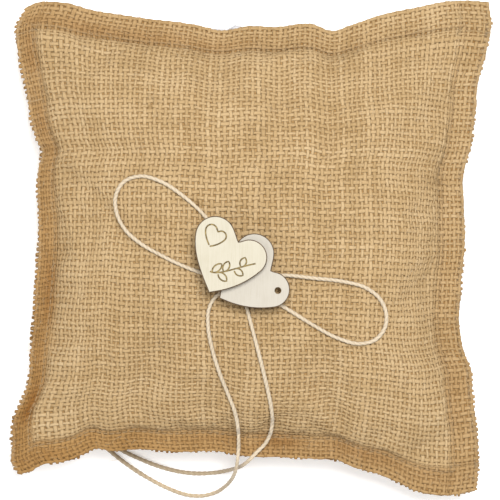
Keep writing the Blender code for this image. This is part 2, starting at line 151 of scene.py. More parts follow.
# Burlap: yarns lie a pitch apart, flattened, and pass over and under each other. Half a yarn's
# width is a share of the pitch
WARP_PITCH, WEFT_PITCH = 2.00 * MM, 2.10 * MM
YARN_HALF_WIDTH = 0.345
YARN_HALF_THICKNESS = 0.25 * MM
WEAVE_RISE = 0.18 * MM
REACH = WEAVE_RISE + YARN_HALF_THICKNESS
REST_HEIGHT = REACH + 0.38 * MM
RINGS_PER_PITCH = 3
SPARE_RINGS = 8
YARN_SIDES = 6
# Unevenness: strength, waves along the yarn, offset, step from yarn to yarn, and seed
YARN_DRIFT = [(0.11, 9, 7, 0.73, 1), (0.11, 55, 3, 1.31, 2)]
YARN_SWELLING = [(0.18, 30, 11, 0.91, 3), (0.14, 85, 21, 1.57, 8)]
YARN_SLUBS = (1.0, 16, 31, 2.17, 4)
YARN_TONES = (0.20, 14, 0, 1.7, 5)
YARN_SPREAD = 0.15
SLUB_START, SLUB_SWELLING = 0.72, 0.28
STRAND_ROUGHNESS = 0.17
# Beyond the outermost crossing the yarns are loose: they spread and drift
LOOSE_LENGTH = 1.6 * MM
LOOSE_DRIFT = 0.16
LOOSE_WIDENING = 0.12
# Raw edges: how far they pass the outermost crossing, and how uneven their ends are
LEFT_FRINGE, RIGHT_FRINGE, LOW_FRINGE = 1.4 * MM, 0.8 * MM, 0.75 * MM
FRAY = 0.30 * MM
RAGGED = 0.7 * MM
# At the top edge the cloth is turned in between the covers
FOLD_LENGTH = 2.6 * MM
FOLD_RADIUS = 1.1 * MM
YARNS_PER_PIECE = 34
# Space left at each side of a tube's strip in its map
MAP_MARGIN = 0.06
# Slant of the fibres on a yarn, in degrees
FIBRE_SLANT = 16.0
# Reach of the dark sheet of painted shade under the yarns and of the linings, as shares of the half side,
# and that sheet's depth
SHADE_SHEET_REACH = 0.988
LINING_REACH = 0.905
SHADE_SHEET_TOP, SHADE_SHEET_LOW = 0.22 * MM, 0.57 * MM
# Grid lines across the pad, and across each side of the flange
PAD_LINES, FLANGE_LINES = 141, 9

# Linings: the depths of their two faces under the cover. The wisp: its place across the top edge,
# its thickness, and how far it reaches out at its ends and more in its middle
LINING_TOP, LINING_LOW = 0.85 * MM, 1.10 * MM
WISP_FROM, WISP_WIDTH = -0.195, 0.155
WISP_HALF_THICKNESS = 0.15 * MM
WISP_OUT, WISP_MIDDLE, WISP_WAVE = 0.9 * MM, 1.5 * MM, 0.5 * MM
# Stuffing: its reach as a share of the seam's, and its lumpy distance under the covers
STUFFING_REACH = 0.93
STUFFING_INSET, LUMP_DEPTH, LUMP_SIZE = 1.9 * MM, 1.6 * MM, 14 * MM

# Seam: where its stitches lie outside the crease, and their size
SEAM_TO_THREAD = 1.8 * MM
STITCH_LENGTH, STITCH_STEPS = 2.7 * MM, 7
THREAD_RADIUS = 0.24 * MM
STITCH_DIP = 0.9 * MM

# Twine: two plies twisted together, laid a small gap above the yarns
TWINE = 1.4 * MM
TWIST_LENGTH = 4.6 * MM
TWINE_GAP = 0.10 * MM
TWINE_STEP = 0.38 * MM
TWINE_SIDES = 14
AGED_SWELLING = 0.16

# Tack stitch: its staples' turns in degrees, half their width, and the thread's radius
TACK_TURNS = (15.0, 75.0, 135.0)
TACK_HALF = 0.75 * MM
TACK_RADIUS = 0.22 * MM
TACK_INSET = 0.3 * MM

# Routes of the twine in millimetres: x, y and how far it is lifted off the cover
LEFT_LOOP = [
    (-6.0, -8.5, 0), (-8.4, -3.2, 0), (-12.4, 5.0, 0), (-19.3, 14.2, 0), (-28.0, 22.0, 0),
    (-36.4, 27.4, 0), (-45.0, 29.6, 0), (-51.4, 27.4, 0), (-54.8, 21.8, 0), (-54.6, 15.2, 0),
    (-51.0, 7.9, 0), (-44.6, 2.2, 0), (-36.6, -2.4, 0), (-28.0, -6.6, 0), (-19.6, -9.8, 0),
    (-13.4, -11.7, 0), (-8.85, -12.6, 0),
]
RIGHT_LOOP = [
    (0.25, -12.1, 0), (6.0, -11.0, 0), (13.7, -10.7, 0), (26.0, -11.9, 0), (38.0, -13.3, 0),
    (46.9, -15.8, 0), (52.6, -20.3, 0), (55.2, -26.4, 0), (54.5, -32.4, 0), (50.6, -37.0, 0),
    (44.6, -38.5, 0), (35.4, -36.2, 0), (25.6, -31.0, 0), (15.8, -24.9, 0), (7.4, -19.9, 0),
    (-0.45, -15.1, 0),
]
LEFT_TAIL = [
    (-7.95, -15.45, 0), (-11.4, -17.4, 0), (-14.7, -20.0, 0), (-16.9, -24.4, 0),
    (-17.2, -31.6, 0), (-15.6, -40.6, 0), (-12.6, -50.4, 0), (-9.0, -59.6, 0),
    (-6.6, -65.8, 0.4), (-5.4, -71.0, 1.2), (-4.9, -76.6, 3.0), (-4.9, -81.4, 0.7),
]
RIGHT_TAIL = [
    (-3.35, -17.1, 0), (-2.2, -21.4, 0), (-0.6, -27.4, 0), (2.2, -38.0, 0), (4.9, -48.6, 0),
    (7.2, -58.4, 0), (8.5, -65.0, 0.4), (8.9, -70.6, 1.2), (8.0, -75.8, 3.2),
    (5.6, -80.2, 0.9), (2.9, -82.9, 0.6),
]
# Where the tails have left the cover: x, y and height
LEFT_TAIL_DROP = [
    (-5.2, -85.4, 27.9), (-5.8, -89.4, 25.4), (-6.8, -92.8, 21.0), (-8.4, -95.6, 14.6), (-10.9, -98.3, 7.8),
    (-14.6, -100.7, 2.6), (-19.6, -102.1, 0.9), (-26.0, -101.8, 0.8), (-33.4, -99.3, 0.8),
    (-41.4, -95.3, 0.8), (-49.4, -90.3, 0.8), (-56.2, -85.2, 0.8), (-62.0, -80.0, 0.8),
    (-66.8, -74.4, 0.8),
]
RIGHT_TAIL_DROP = [
    (0.1, -85.8, 27.9), (-2.2, -87.9, 25.6), (-4.3, -89.4, 19.4), (-6.8, -90.5, 11.8), (-10.0, -91.6, 4.9),
    (-14.4, -92.5, 1.3), (-20.4, -92.9, 0.9), (-27.8, -92.4, 0.8), (-36.4, -90.4, 0.8),
    (-45.2, -87.1, 0.8), (-53.4, -83.2, 0.8), (-60.0, -79.0, 0.8), (-64.6, -74.2, 0.8),
]

# Hearts, drawn in millimetres with the tip at the origin and the cleft along +Y, as in the CAD
# model. Lobes and hole: x, y and radius. The two hearts' places: x, y and turn in degrees
LEFT_LOBE = (-9.35, 21.0, 8.1)
RIGHT_LOBE = (6.9, 20.4, 7.3)
LOBE_ANGLES = (-20.0, 115.0)
CLEFT_RISE = 23.7
CLEFT_HALF_ANGLE = 50.0
CLEFT_FULLNESS = 2.2
TIP_HALF_ANGLE = 54.0
SIDE_FULLNESS = 8.0
HOLE = (8.4, 22.4, 1.4)
REAR_HEART = (-12.6, -19.9, -62.0)
FRONT_HEART = (-16.8, -17.6, -30.3)
BURNT_EDGE = 0.38 * MM
GROOVE, GROOVE_DEPTH = 0.32 * MM, 0.416 * MM
SMALL_HEART_SCALE, SMALL_HEART_PLACE = 0.285, (-9.2, 16.3)

# Dark flecks in the jute: x, y and radius in millimetres
FLECKS = [
    (-21.1, 18.4, 1.3), (-62.5, -44.0, 0.9), (29.5, 37.5, 0.8), (61.0, 8.0, 0.7),
    (-40.5, 58.0, 0.8), (22.0, -62.0, 0.7),
]

# Loose fibres: how many on each cover, where they start, as a share of the half side, and their
# size; and the long ones at the raw edges: x, y and height in millimetres
FRONT_HAIRS, BACK_HAIRS = 2600, 500
HAIR_REACH, EDGE_HAIR_REACH = 0.97, 0.975
HAIR_LENGTHS = (1.5 * MM, 6.0 * MM)
HAIR_RADIUS = 0.045 * MM
HAIR_STEPS = 6
STRAY_FIBRES = [
    [(84.5, 20.0, 26.0), (88.5, 21.5, 27.5), (91.0, 20.5, 27.8), (92.6, 21.6, 27.0)],
    [(-84.0, 62.0, 26.0), (-90.5, 60.5, 27.2), (-94.0, 61.6, 27.0), (-95.4, 60.6, 26.0)],
    [(-53.8, -86.6, 1.3), (-55.6, -87.3, 1.4), (-57.6, -87.6, 1.2), (-59.4, -88.5, 0.8)],
]

# Studio: camera height and the width it sees, and each light's name, place, size and power
CAMERA_HEIGHT, SEEN_WIDTH = 2.5, 0.205
CAMERA_SHIFT = (-0.2 * MM, -0.4 * MM)
LIGHTS = [("key", (0.15, 0.34, 1.25), 0.6, 24.0), ("fill", (-0.6, -0.7, 1.1), 0.9, 5.0)]
WORLD_STRENGTH = 0.62


# Small numerical helpers


def noise(x, y, seed):
    """Smooth random values from -1 to 1 at the points, one lattice cell to each unit."""
    table = np.random.RandomState(seed).uniform(-1.0, 1.0, (64, 64))
    xi, yi = np.floor(x).astype(int), np.floor(y).astype(int)
    fx, fy = x - xi, y - yi
    fx, fy = fx * fx * (3 - 2 * fx), fy * fy * (3 - 2 * fy)
    x0, y0, x1, y1 = xi % 64, yi % 64, (xi + 1) % 64, (yi + 1) % 64
    low = table[x0, y0] * (1 - fx) + table[x1, y0] * fx
    high = table[x0, y1] * (1 - fx) + table[x1, y1] * fx
    return low * (1 - fy) + high * fy


def spline(points, share):
    """The smooth curve through points, at shares from 0 to 1 of its length."""
    points = np.asarray(points, float)
    at = lengths_along(points)
    slope = np.gradient(points, at, axis=0)
    wanted = np.clip(share, 0.0, 1.0) * at[-1]
    i = np.clip(np.searchsorted(at, wanted, side="right") - 1, 0, len(at) - 2)
    h = (at[i + 1] - at[i])[..., None]
    t = ((wanted - at[i])[..., None]) / h
    a, b = points[i], points[i + 1]
    da, db = slope[i] * h, slope[i + 1] * h
    return (
        (2 * t**3 - 3 * t**2 + 1) * a + (t**3 - 2 * t**2 + t) * da
        + (3 * t**2 - 2 * t**3) * b + (t**3 - t**2) * db
    )


def unit(vectors):
    return vectors / np.maximum(np.linalg.norm(vectors, axis=-1, keepdims=True), 1e-12)


def lengths_along(points):
    """How far along the line each of its points lies."""
    return np.concatenate([[0.0], np.cumsum(np.linalg.norm(np.diff(points, axis=0), axis=1))])


def resampled(points, at, wanted):
    return np.stack([np.interp(wanted, at, points[:, k]) for k in range(3)], -1)


def around(count):
    """Angles of evenly spaced places around a circle."""
    return np.arange(count) * math.tau / count


def rings_on(line, side, upright, angle, half_side, half_upright):
    """A ring at each point of a line, with half its width in each of two directions."""
    return line[..., None, :] + (
        (np.cos(angle) * half_side)[..., None] * side[..., None, :]
        + (np.sin(angle) * half_upright)[..., None] * upright[..., None, :]
    )


def grid_quads(index):
    """The four corners of every cell in a grid of point numbers."""
    return np.stack([index[:-1, :-1], index[1:, :-1], index[1:, 1:], index[:-1, 1:]], -1).reshape(-1, 4)


# The cushion's surface


def rolled(w):
    """Beside the seam the cloth runs down the pad's side, so it moves less across the pad."""
    inside = np.maximum(SEAM - np.abs(w), 0.0)
    moved = np.where(inside < SIDE_ROLL, inside**2 / (2 * SIDE_ROLL), inside - SIDE_ROLL / 2)
    moved = moved * SEAM / (SEAM - SIDE_ROLL / 2)
    return np.where(np.abs(w) < SEAM, np.sign(w) * (SEAM - moved), w)


def gathered(w, across):
    """Between its corners the pad's weave is drawn in towards the seam."""
    share = np.clip(rolled(w) / SEAM, -1.0, 1.0)
    strength = GATHER * np.maximum(0.0, 1.0 - np.minimum(np.abs(across / SEAM), 1.0) ** 2)
    inside = SEAM * ((1.0 + strength) * share - strength * share**3)
    return np.where(np.abs(w) < SEAM, inside, w)


def shifted(w, across, low, high):
    """Moves the seam outwards where the flange stands up and looks narrower."""
    near = np.exp(-(((np.abs(w) - SEAM) / SHIFT_WIDTH) ** 2)) * np.minimum(1.0, (1.0 - np.abs(w)) / 0.05)
    uneven = 0.75 + 0.25 * noise(across * 4.3 + 17, np.sign(w) * 3.0 + low * 90, 27)
    return w + np.where(w < 0, -low, high) * near * uneven


def plan(u, v):
    """Where cloth points lie in plan: the four edges, whose waves fade away from them."""
    uc, vc = np.clip(u, -1.0, 1.0), np.clip(v, -1.0, 1.0)
    a = (0.5 + 0.5 * shifted(gathered(uc, vc), vc, *SEAM_SHIFT[0]))[..., None]
    b = (0.5 + 0.5 * shifted(gathered(vc, uc), uc, *SEAM_SHIFT[1]))[..., None]
    left, right = spline(LEFT_EDGE, b[..., 0]), spline(RIGHT_EDGE, b[..., 0])
    low, high = spline(BOTTOM_EDGE, a[..., 0]), spline(TOP_EDGE, a[..., 0])
    corners = [np.array(p, float) for p in (LEFT_EDGE[0], RIGHT_EDGE[0], LEFT_EDGE[-1], RIGHT_EDGE[-1])]
    flat = (1 - b) * ((1 - a) * corners[0] + a * corners[1])
    flat = flat + b * ((1 - a) * corners[2] + a * corners[3])
    for edge, along, across, ends in (
        (left, b, 1 - a, (0, 2)), (right, b, a, (1, 3)), (low, a, 1 - b, (0, 1)), (high, a, b, (2, 3)),
    ):
        straight = (1 - along) * corners[ends[0]] + along * corners[ends[1]]
        flat = flat + across**EDGE_FADE * (edge - straight)
    flat = flat * MM
    beyond = np.stack([u - uc, v - vc], axis=-1) * HALF_SIDE
    return flat + beyond


def fullness(u, v):
    across = np.maximum(0.0, 1 - (rolled(u) / SEAM) ** 2)
    return (across * np.maximum(0.0, 1 - (rolled(v) / SEAM) ** 2)) ** FULLNESS


def flange_height(u, v, x, y):
    """Waves, pinches and lifted corners of the flange, fading out over the pad."""
    out = np.maximum(np.abs(u), np.abs(v))
    share = np.clip((out - SEAM + WAVE_FADE) / (1 - SEAM + WAVE_FADE), 0.0, 1.2)
    waves = FRILL * np.clip((-u - SEAM) / (1 - SEAM), 0.0, 1.0) * noise(y / FRILL_SIZE + 35, 12.0, 29)
    for height, size, shift_x, shift_y, seed in FLANGE_WAVES:
        waves = waves + height * noise(x / size + shift_x, y / size + shift_y, seed)
    a, b = 0.5 + 0.5 * np.clip(u, -1, 1), 0.5 + 0.5 * np.clip(v, -1, 1)
    low = CORNER_LIFT[0] * (1 - a) + CORNER_LIFT[1] * a
    high = CORNER_LIFT[2] * (1 - a) + CORNER_LIFT[3] * a
    diagonal = np.clip((np.abs(u * v) - CORNER_START) / (1 - CORNER_START), 0.0, 1.0) ** 1.5
    lift = (low * (1 - b) + high * b) * diagonal
    for px, py, depth in PINCHES:
        near = ((x - px * MM) ** 2 + (y - py * MM) ** 2) / PINCH_RADIUS**2
        waves = waves - depth * MM * np.exp(-near)
    return waves * share + lift


def layer_gap(u, v):
    """Half the distance between the covers, which lie closer together towards the raw edges."""
    out = np.clip((np.maximum(np.abs(u), -v) - SEAM) / (1 - SEAM), 0.0, 1.0)
    return LAYER * (1.0 - EDGE_CLOSING * out * np.clip((1.0 - v) / 0.1, 0.0, 1.0))


def seam_effects(u, v, x, y):
    """The crease along the seam, with small puckers across it."""
    from_seam = (np.maximum(np.abs(u), np.abs(v)) - SEAM) * HALF_SIDE
    along = np.where(np.abs(u) > np.abs(v), y, x)
    side = np.where(np.abs(u) > np.abs(v), np.sign(u), 2 * np.sign(v))
    crease = 0.55 + CREASE_CHANGE * noise(along / CHANGE_LENGTH + 40, side * 5.0 + 50, 25)
    crease = crease * np.exp(-((from_seam / CREASE_WIDTH) ** 2))
    puckers = noise(along / PUCKER_LENGTH + 20, side * 7.0 + 30, 21)
    puckers = puckers * np.exp(-((from_seam / PUCKER_REACH) ** 2))
    ladder = noise(along / LADDER_LENGTH + 60, side * 3.0 + 20, 26)
    ladder = ladder * np.exp(-(((from_seam - LADDER_PLACE) / LADDER_REACH) ** 2))
    folds = noise(x / SOFT_FOLD_SIZE + 3, y / SOFT_FOLD_SIZE + 8, 23)
    ripple = PUCKER_DEPTH * (puckers + LADDER_SHARE * ladder) + SOFT_FOLD_DEPTH * folds
    return CREASE_DEPTH * crease, ripple


def eased(u, v):
    """What the cloth simulation moves the front cover by, blended smoothly between its points."""
    place = [(np.clip(w / SEAM, -1, 1) * 0.5 + 0.5) * (CLOTH_LINES - 1) for w in (u, v)]
    cells = [np.floor(t).astype(int) for t in place]
    parts = []
    for t, cell in zip(place, cells):
        f = t - cell
        parts.append([(1 - f) ** 3, 3 * f**3 - 6 * f**2 + 4, -3 * f**3 + 3 * f**2 + 3 * f + 1, f**3])
    total = 0.0
    for i in range(4):
        row = np.clip(cells[0] + i - 1, 0, CLOTH_LINES - 1)
        for j in range(4):
            column = np.clip(cells[1] + j - 1, 0, CLOTH_LINES - 1)
            total = total + (parts[0][i] * parts[1][j] / 36.0)[..., None] * MOVED[row, column]
    return total


def inflate():
    """Blows the front cover up as slack cloth held along the seam, and keeps how far it moves."""
    line = np.linspace(-SEAM, SEAM, CLOTH_LINES)
    u, v = np.meshgrid(line, line, indexing="ij")
    start = front(u, v)
    index = np.arange(CLOTH_LINES**2).reshape(CLOTH_LINES, CLOTH_LINES)
    mesh = bpy.data.meshes.new("slack_cover")
    mesh.from_pydata(start.reshape(-1, 3).tolist(), [], grid_quads(index).tolist())
    scene = bpy.context.scene
    cover = bpy.data.objects.new("slack_cover", mesh)
    scene.collection.objects.link(cover)
    held = cover.vertex_groups.new(name="seam")
    rim = np.ones_like(index, bool)
    rim[1:-1, 1:-1] = False
    held.add(index[rim].tolist(), 1.0, "REPLACE")
    cloth = cover.modifiers.new("cloth", "CLOTH")
    settings = cloth.settings
    settings.vertex_group_mass = "seam"
    settings.quality = 8
    settings.mass = 0.3
    settings.tension_stiffness = settings.compression_stiffness = CLOTH_STIFFNESS
    settings.shear_stiffness = 0.48 * CLOTH_STIFFNESS
    settings.bending_stiffness = 0.4
    settings.tension_damping = settings.compression_damping = CLOTH_DAMPING
    settings.shrink_min = settings.shrink_max = -CLOTH_SLACK
    settings.use_pressure = True
    settings.uniform_pressure_force = CLOTH_PRESSURE
    settings.effector_weights.gravity = 0.0
    cloth.point_cache.frame_end = CLOTH_FRAMES
    for frame_number in range(1, CLOTH_FRAMES + 1):
        scene.frame_set(frame_number)
    result = cover.evaluated_get(bpy.context.evaluated_depsgraph_get()).to_mesh()
    blown = np.empty(len(result.vertices) * 3, np.float32)
    result.vertices.foreach_get("co", blown)
    blown = blown.reshape(start.shape).astype(float)
    scene.frame_set(1)
    bpy.data.objects.remove(cover)
    bpy.data.meshes.remove(mesh)
    centre = CLOTH_LINES // 2
    grown, wanted = (points[centre, centre, 2] - MIDDLE_Z for points in (blown, start))
    blown[..., 2] = MIDDLE_Z + (blown[..., 2] - MIDDLE_Z) * wanted / grown
    inner = np.clip((1 - np.maximum(np.abs(u), np.abs(v)) / SEAM) / RIM_SHARE, 0, 1)[..., None]
    MOVED[:] = (blown - start) * inner


def front(u, v):
    """Points of the front cover's middle surface."""
    flat = plan(u, v)
    x, y = flat[..., 0], flat[..., 1]
    rise = (CROWN_Z - REACH - MIDDLE_Z - LAYER) * fullness(u, v)
    crease, ripple = seam_effects(u, v, x, y)
    z = MIDDLE_Z + layer_gap(u, v) + rise + flange_height(u, v, x, y) - crease + ripple
    return folded_in(flat, v, z, -1.0) + eased(u, v)


def back(u, v):
    """Points of the back cover's middle surface, flattened where the pillow lies on it."""
    flat = plan(u, v)
    x, y = flat[..., 0], flat[..., 1]
    bulge = BELLY * fullness(u, v)
    crease, ripple = seam_effects(u, v, x, y)
    moved = eased(-u, v) * (-1.0, 1.0, -1.0)
    z = MIDDLE_Z - layer_gap(u, v) - bulge + flange_height(u, v, x, y) + crease + ripple + moved[..., 2]
    flat = flat + moved[..., :2]
    above = np.clip((z - REST_HEIGHT) / BELLY_SOFTNESS, -30, 30)
    z = REST_HEIGHT + BELLY_SOFTNESS * np.log1p(np.exp(above))
    return folded_in(flat, v, z, 1.0)


def folded_in(flat, v, z, turn):
    """Beyond the top edge the cloth rolls inwards between the two covers."""
    past = np.maximum(0.0, v - 1.0) * HALF_SIDE
    angle = np.minimum(past / FOLD_RADIUS, math.pi)
    y = flat[..., 1] - past + FOLD_RADIUS * np.sin(angle)
    drop = FOLD_RADIUS * (1.0 - np.cos(angle))
    return np.stack([flat[..., 0], y, z + turn * drop], axis=-1)


def frame_on(surface, u, v, outward):
    """Points, directions of rising u and v, and outward normals."""
    step = 0.002
    here = surface(u, v)
    du = (surface(u + step, v) - surface(u - step, v)) / (2 * step)
    dv = (surface(u, v + step) - surface(u, v - step)) / (2 * step)
    return here, du, dv, unit(np.cross(du, dv)) * outward


# Meshes


def mesh_object(name, vertices, loops, starts, body):
    """An object from arrays: vertices, the vertex of each loop, and each face's first loop."""
    mesh = bpy.data.meshes.new(name)
    mesh.vertices.add(len(vertices))
    mesh.vertices.foreach_set("co", np.ascontiguousarray(vertices, np.float32).ravel())
    mesh.loops.add(len(loops))
    mesh.loops.foreach_set("vertex_index", np.ascontiguousarray(loops, np.int32))
    mesh.polygons.add(len(starts))
    mesh.polygons.foreach_set("loop_start", np.ascontiguousarray(starts, np.int32))
    mesh.update(calc_edges=True)
    mesh.validate()
    mesh.shade_smooth()
    made = bpy.data.objects.new(name, mesh)
    bpy.context.collection.objects.link(made)
    if body:
        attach(made, body)
    return made


def dress(made, finish, node):
    """Gives a piece its material and hides the CAD node it replaces."""
    made.data.materials.append(finish)
    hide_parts(node)


def point_attribute(obj, name, values):
    attribute = obj.data.attributes.new(name, "FLOAT", "POINT")
    attribute.data.foreach_set("value", np.ascontiguousarray(values, np.float32).ravel())


def tubes(name, rings, body, bake_map=True):
    """Closed tubes through rings of points, shaped (tubes, rings, sides, 3)."""
    count, length, sides, _ = rings.shape
    index = np.arange(count * length * sides).reshape(count, length, sides)
    here, there = index[:, :-1], index[:, 1:]
    quads = np.stack([here, np.roll(here, -1, 2), np.roll(there, -1, 2), there], axis=-1)
    first = index[:, 0, ::-1].reshape(-1)
    last = index[:, -1].reshape(-1)
    loops = np.concatenate([quads.reshape(-1), first, last])
    quad_starts = np.arange(quads.size // 4) * 4
    cap_starts = quads.size + np.arange(2 * count) * sides
    starts = np.concatenate([quad_starts, cap_starts])
    made = mesh_object(name, rings.reshape(-1, 3), loops, starts, body)
    if bake_map:
        tube_map(made, rings.shape, loops, quads.size)
    return made


def tube_map(made, shape, loops, quad_loops):
    """A map with each tube as its own strip, to bake textures onto."""
    count, length, sides, _ = shape
    tube, ring, side = np.unravel_index(loops, (count, length, sides))
    side = side.astype(float)
    wrap = np.zeros(len(loops), bool)
    corner = np.arange(quad_loops) % 4
    wrap[:quad_loops] = ((corner == 1) | (corner == 2)) & (side[:quad_loops] == 0)
    side[wrap] = sides
    along = ring / (length - 1)
    across = (tube + MAP_MARGIN + (1 - 2 * MAP_MARGIN) * side / sides) / count
    layer = made.data.uv_layers.new(name="OFBake")
    layer.data.foreach_set("uv", np.stack([along, across], -1).astype(np.float32).ravel())


def grid_lines(low, high):
    """Places across the cushion from low to high, packed closely at the seam."""
    pad = -SEAM * np.cos(np.linspace(0.0, math.pi, PAD_LINES))
    outside = np.linspace(SEAM, 1.0, FLANGE_LINES + 1)[1:]
    every = np.concatenate([-outside[::-1], pad, outside])
    inside = every[(every > low + 0.002) & (every < high - 0.002)]
    return np.concatenate([[low], inside, [high]])


def closed_grid(name, upper, lower, body):
    """A closed body between two grids of points, joined around their rim."""
    n, m, _ = upper.shape
    index = np.arange(n * m).reshape(n, m)
    top = grid_quads(index)
    low = top[:, ::-1] + n * m
    rim = np.concatenate([index[:-1, 0], index[-1, :-1], index[:0:-1, -1], index[0, :0:-1]])
    after = np.roll(rim, -1)
    walls = np.stack([rim, rim + n * m, after + n * m, after], -1)
    faces = np.concatenate([top, low, walls])
    points = np.concatenate([upper.reshape(-1, 3), lower.reshape(-1, 3)])
    return mesh_object(name, points, faces.reshape(-1), np.arange(len(faces)) * 4, body)


# Materials


class Finish:
    """A material in the making: its surface's settings and the nodes that feed it."""

    def __init__(self, name, settings):
        self.material = bpy.data.materials.new(name)
        self.material.use_nodes = True
        self.nodes = self.material.node_tree.nodes
        self.links = self.material.node_tree.links
        self.surface = self.nodes["Principled BSDF"]
        for socket, value in settings.items():
            self.surface.inputs[socket].default_value = value

    def noise(self, scale, detail, stretch=(1, 1, 1), slant=0.0):
        """Noise of the object coordinates, turned about Z and then scaled along each axis."""
        place = self.nodes.new("ShaderNodeTexCoord")
        mapping = self.nodes.new("ShaderNodeMapping")
        mapping.vector_type = "TEXTURE"
        mapping.inputs["Rotation"].default_value = (0.0, 0.0, math.radians(slant))
        mapping.inputs["Scale"].default_value = [1.0 / s for s in stretch]
        self.links.new(place.outputs["Object"], mapping.inputs["Vector"])
        node = self.nodes.new("ShaderNodeTexNoise")
        node.inputs["Scale"].default_value = scale
        node.inputs["Detail"].default_value = detail
        self.links.new(mapping.outputs["Vector"], node.inputs["Vector"])
        return node.outputs["Fac"]

    def attribute(self, name):
        node = self.nodes.new("ShaderNodeAttribute")
        node.attribute_name = name
        return node.outputs["Fac"]

    def total(self, *parts):
        """The sum of outputs, each times its weight."""
        result = None
        for output, weight in parts:
            node = self.nodes.new("ShaderNodeMath")
            node.operation = "MULTIPLY" if result is None else "MULTIPLY_ADD"
            self.links.new(output, node.inputs[0])
            node.inputs[1].default_value = weight
            if result is not None:
                self.links.new(result, node.inputs[2])
            result = node.outputs[0]
        return result

    def ramp(self, factor, *stops):
        node = self.nodes.new("ShaderNodeValToRGB")
        elements = node.color_ramp.elements
        while len(elements) < len(stops):
            elements.new(0.5)
        for element, (place, colour) in zip(elements, stops):
            element.position = place
            element.color = (*colour, 1.0)
        self.links.new(factor, node.inputs["Fac"])
        return node.outputs["Color"]

    def blend(self, factor, first, kind="MIX"):
        """A mix of colours with its second one still to be set."""
        node = self.nodes.new("ShaderNodeMix")
        node.data_type = "RGBA"
        node.blend_type = kind
        self.links.new(self.attribute(factor), node.inputs["Factor"])
        self.links.new(first, node.inputs["A"])
        return node

    def tinted(self, colour, factor, tint):
        """The colour multiplied by a tint where the attribute is high."""
        node = self.blend(factor, colour, "MULTIPLY")
        node.inputs["B"].default_value = (*tint, 1.0)
        return node.outputs["Result"]

    def finished(self, colour, height=None, strength=0.0, distance=0.0):
        """The material with its colour, and with its bumps where it has any."""
        self.links.new(colour, self.surface.inputs["Base Color"])
        if height is not None:
            bump = self.nodes.new("ShaderNodeBump")
            bump.inputs["Strength"].default_value = strength
            bump.inputs["Distance"].default_value = distance
            self.links.new(height, bump.inputs["Height"])
            self.links.new(bump.outputs["Normal"], self.surface.inputs["Normal"])
        return self.material


def burlap_material(name, stretch):
    """Jute yarn: each yarn's own tone, fibres along it, painted shade in the weave's depth, and golden raw
    ends that are partly painted shade.
    """
    made = Finish(name, {
        "Roughness": 0.95, "Specular IOR Level": 0.08, "Sheen Weight": 0.04,
        "Sheen Roughness": 0.6, "Sheen Tint": (0.90, 0.72, 0.45, 1.0),
    })
    fibre = made.noise(1.0, 5.0, stretch, FIBRE_SLANT)
    patch = made.noise(60.0, 2.0)
    colour = made.ramp(
        made.total((fibre, 0.50), (patch, 0.30), (made.attribute("tone"), 0.35)),
        (0.20, (0.165, 0.096, 0.036)), (0.42, (0.300, 0.198, 0.092)),
        (0.60, (0.375, 0.260, 0.134)), (0.85, (0.450, 0.334, 0.194)),
    )
    # Golden raw ends, together with painted shade on the left and lower flange
    colour = made.tinted(colour, "raw", (0.74, 0.60, 0.41))
    # Painted shade from the depth attribute: darker where yarns pass under others and in the fold patches
    # beside the seam
    colour = made.tinted(colour, "depth", (0.64, 0.48, 0.30))
    return made.finished(colour, fibre, 0.85, 0.22 * MM)


def gap_shade_material(name):
    """Painted shade: the shaded depth of the weave, seen in the gaps between the yarns."""
    made = Finish(name, {"Roughness": 1.0, "Specular IOR Level": 0.05})
    grain = made.noise(900.0, 3.0)
    pad = made.ramp(grain, (0.3, (0.225, 0.130, 0.048)), (0.75, (0.335, 0.212, 0.094)))
    flange = made.ramp(grain, (0.3, (0.210, 0.112, 0.037)), (0.75, (0.315, 0.182, 0.072)))
    blended = made.blend("flange", pad)
    made.links.new(flange, blended.inputs["B"])
    return made.finished(blended.outputs["Result"], grain, 0.6, 0.3 * MM)


def cloth_material(name, light, dark, scale, roughness=0.9, sheen=0.2):
    """Plain thread or cloth with a fine grain, for thread, lining and filling."""
    made = Finish(name, {"Roughness": roughness, "Sheen Weight": sheen})
    grain = made.noise(scale, 5.0)
    return made.finished(made.ramp(grain, (0.3, dark), (0.7, light)), grain, 0.4, 0.2 * MM)


def twine_material(name):
    """Cream twine: light ridges of the plies with painted shade in the groove between them, and painted
    shade on the hanging tails.
    """
    made = Finish(name, {"Roughness": 0.85, "Sheen Weight": 0.25, "Specular IOR Level": 0.25})
    fibre = made.noise(1500.0, 4.0)
    patch = made.noise(120.0, 2.0)
    # The ply term paints shade into the groove between the plies
    colour = made.ramp(
        made.total((fibre, 0.35), (patch, 0.30), (made.attribute("ply"), 0.24)),
        (0.20, (0.300, 0.225, 0.145)), (0.42, (0.440, 0.360, 0.255)), (0.70, (0.520, 0.436, 0.320)),
    )
    # Painted shade darkens the loosened tails where they hang off the cover
    return made.finished(made.tinted(colour, "untwisted_and_shaded", (0.86, 0.82, 0.76)), fibre, 0.5, 0.15 * MM)


def wood_material(name, light, dark, turn):
    """Pale plywood face with a fine, faint grain."""
    made = Finish(name, {"Roughness": 0.55, "Specular IOR Level": 0.3})
    grain = made.noise(1.0, 4.0)
    mapping = made.nodes["Mapping"]
    mapping.vector_type = "POINT"
    mapping.inputs["Rotation"].default_value = (0.0, 0.0, -math.radians(turn))
    mapping.inputs["Scale"].default_value = (2600.0, 130.0, 400.0)
    cloud = made.noise(160.0, 2.0)
    colour = made.ramp(made.total((grain, 0.6), (cloud, 0.4)), (0.30, dark), (0.55, light))
    return made.finished(colour, grain, 0.25, 0.08 * MM)


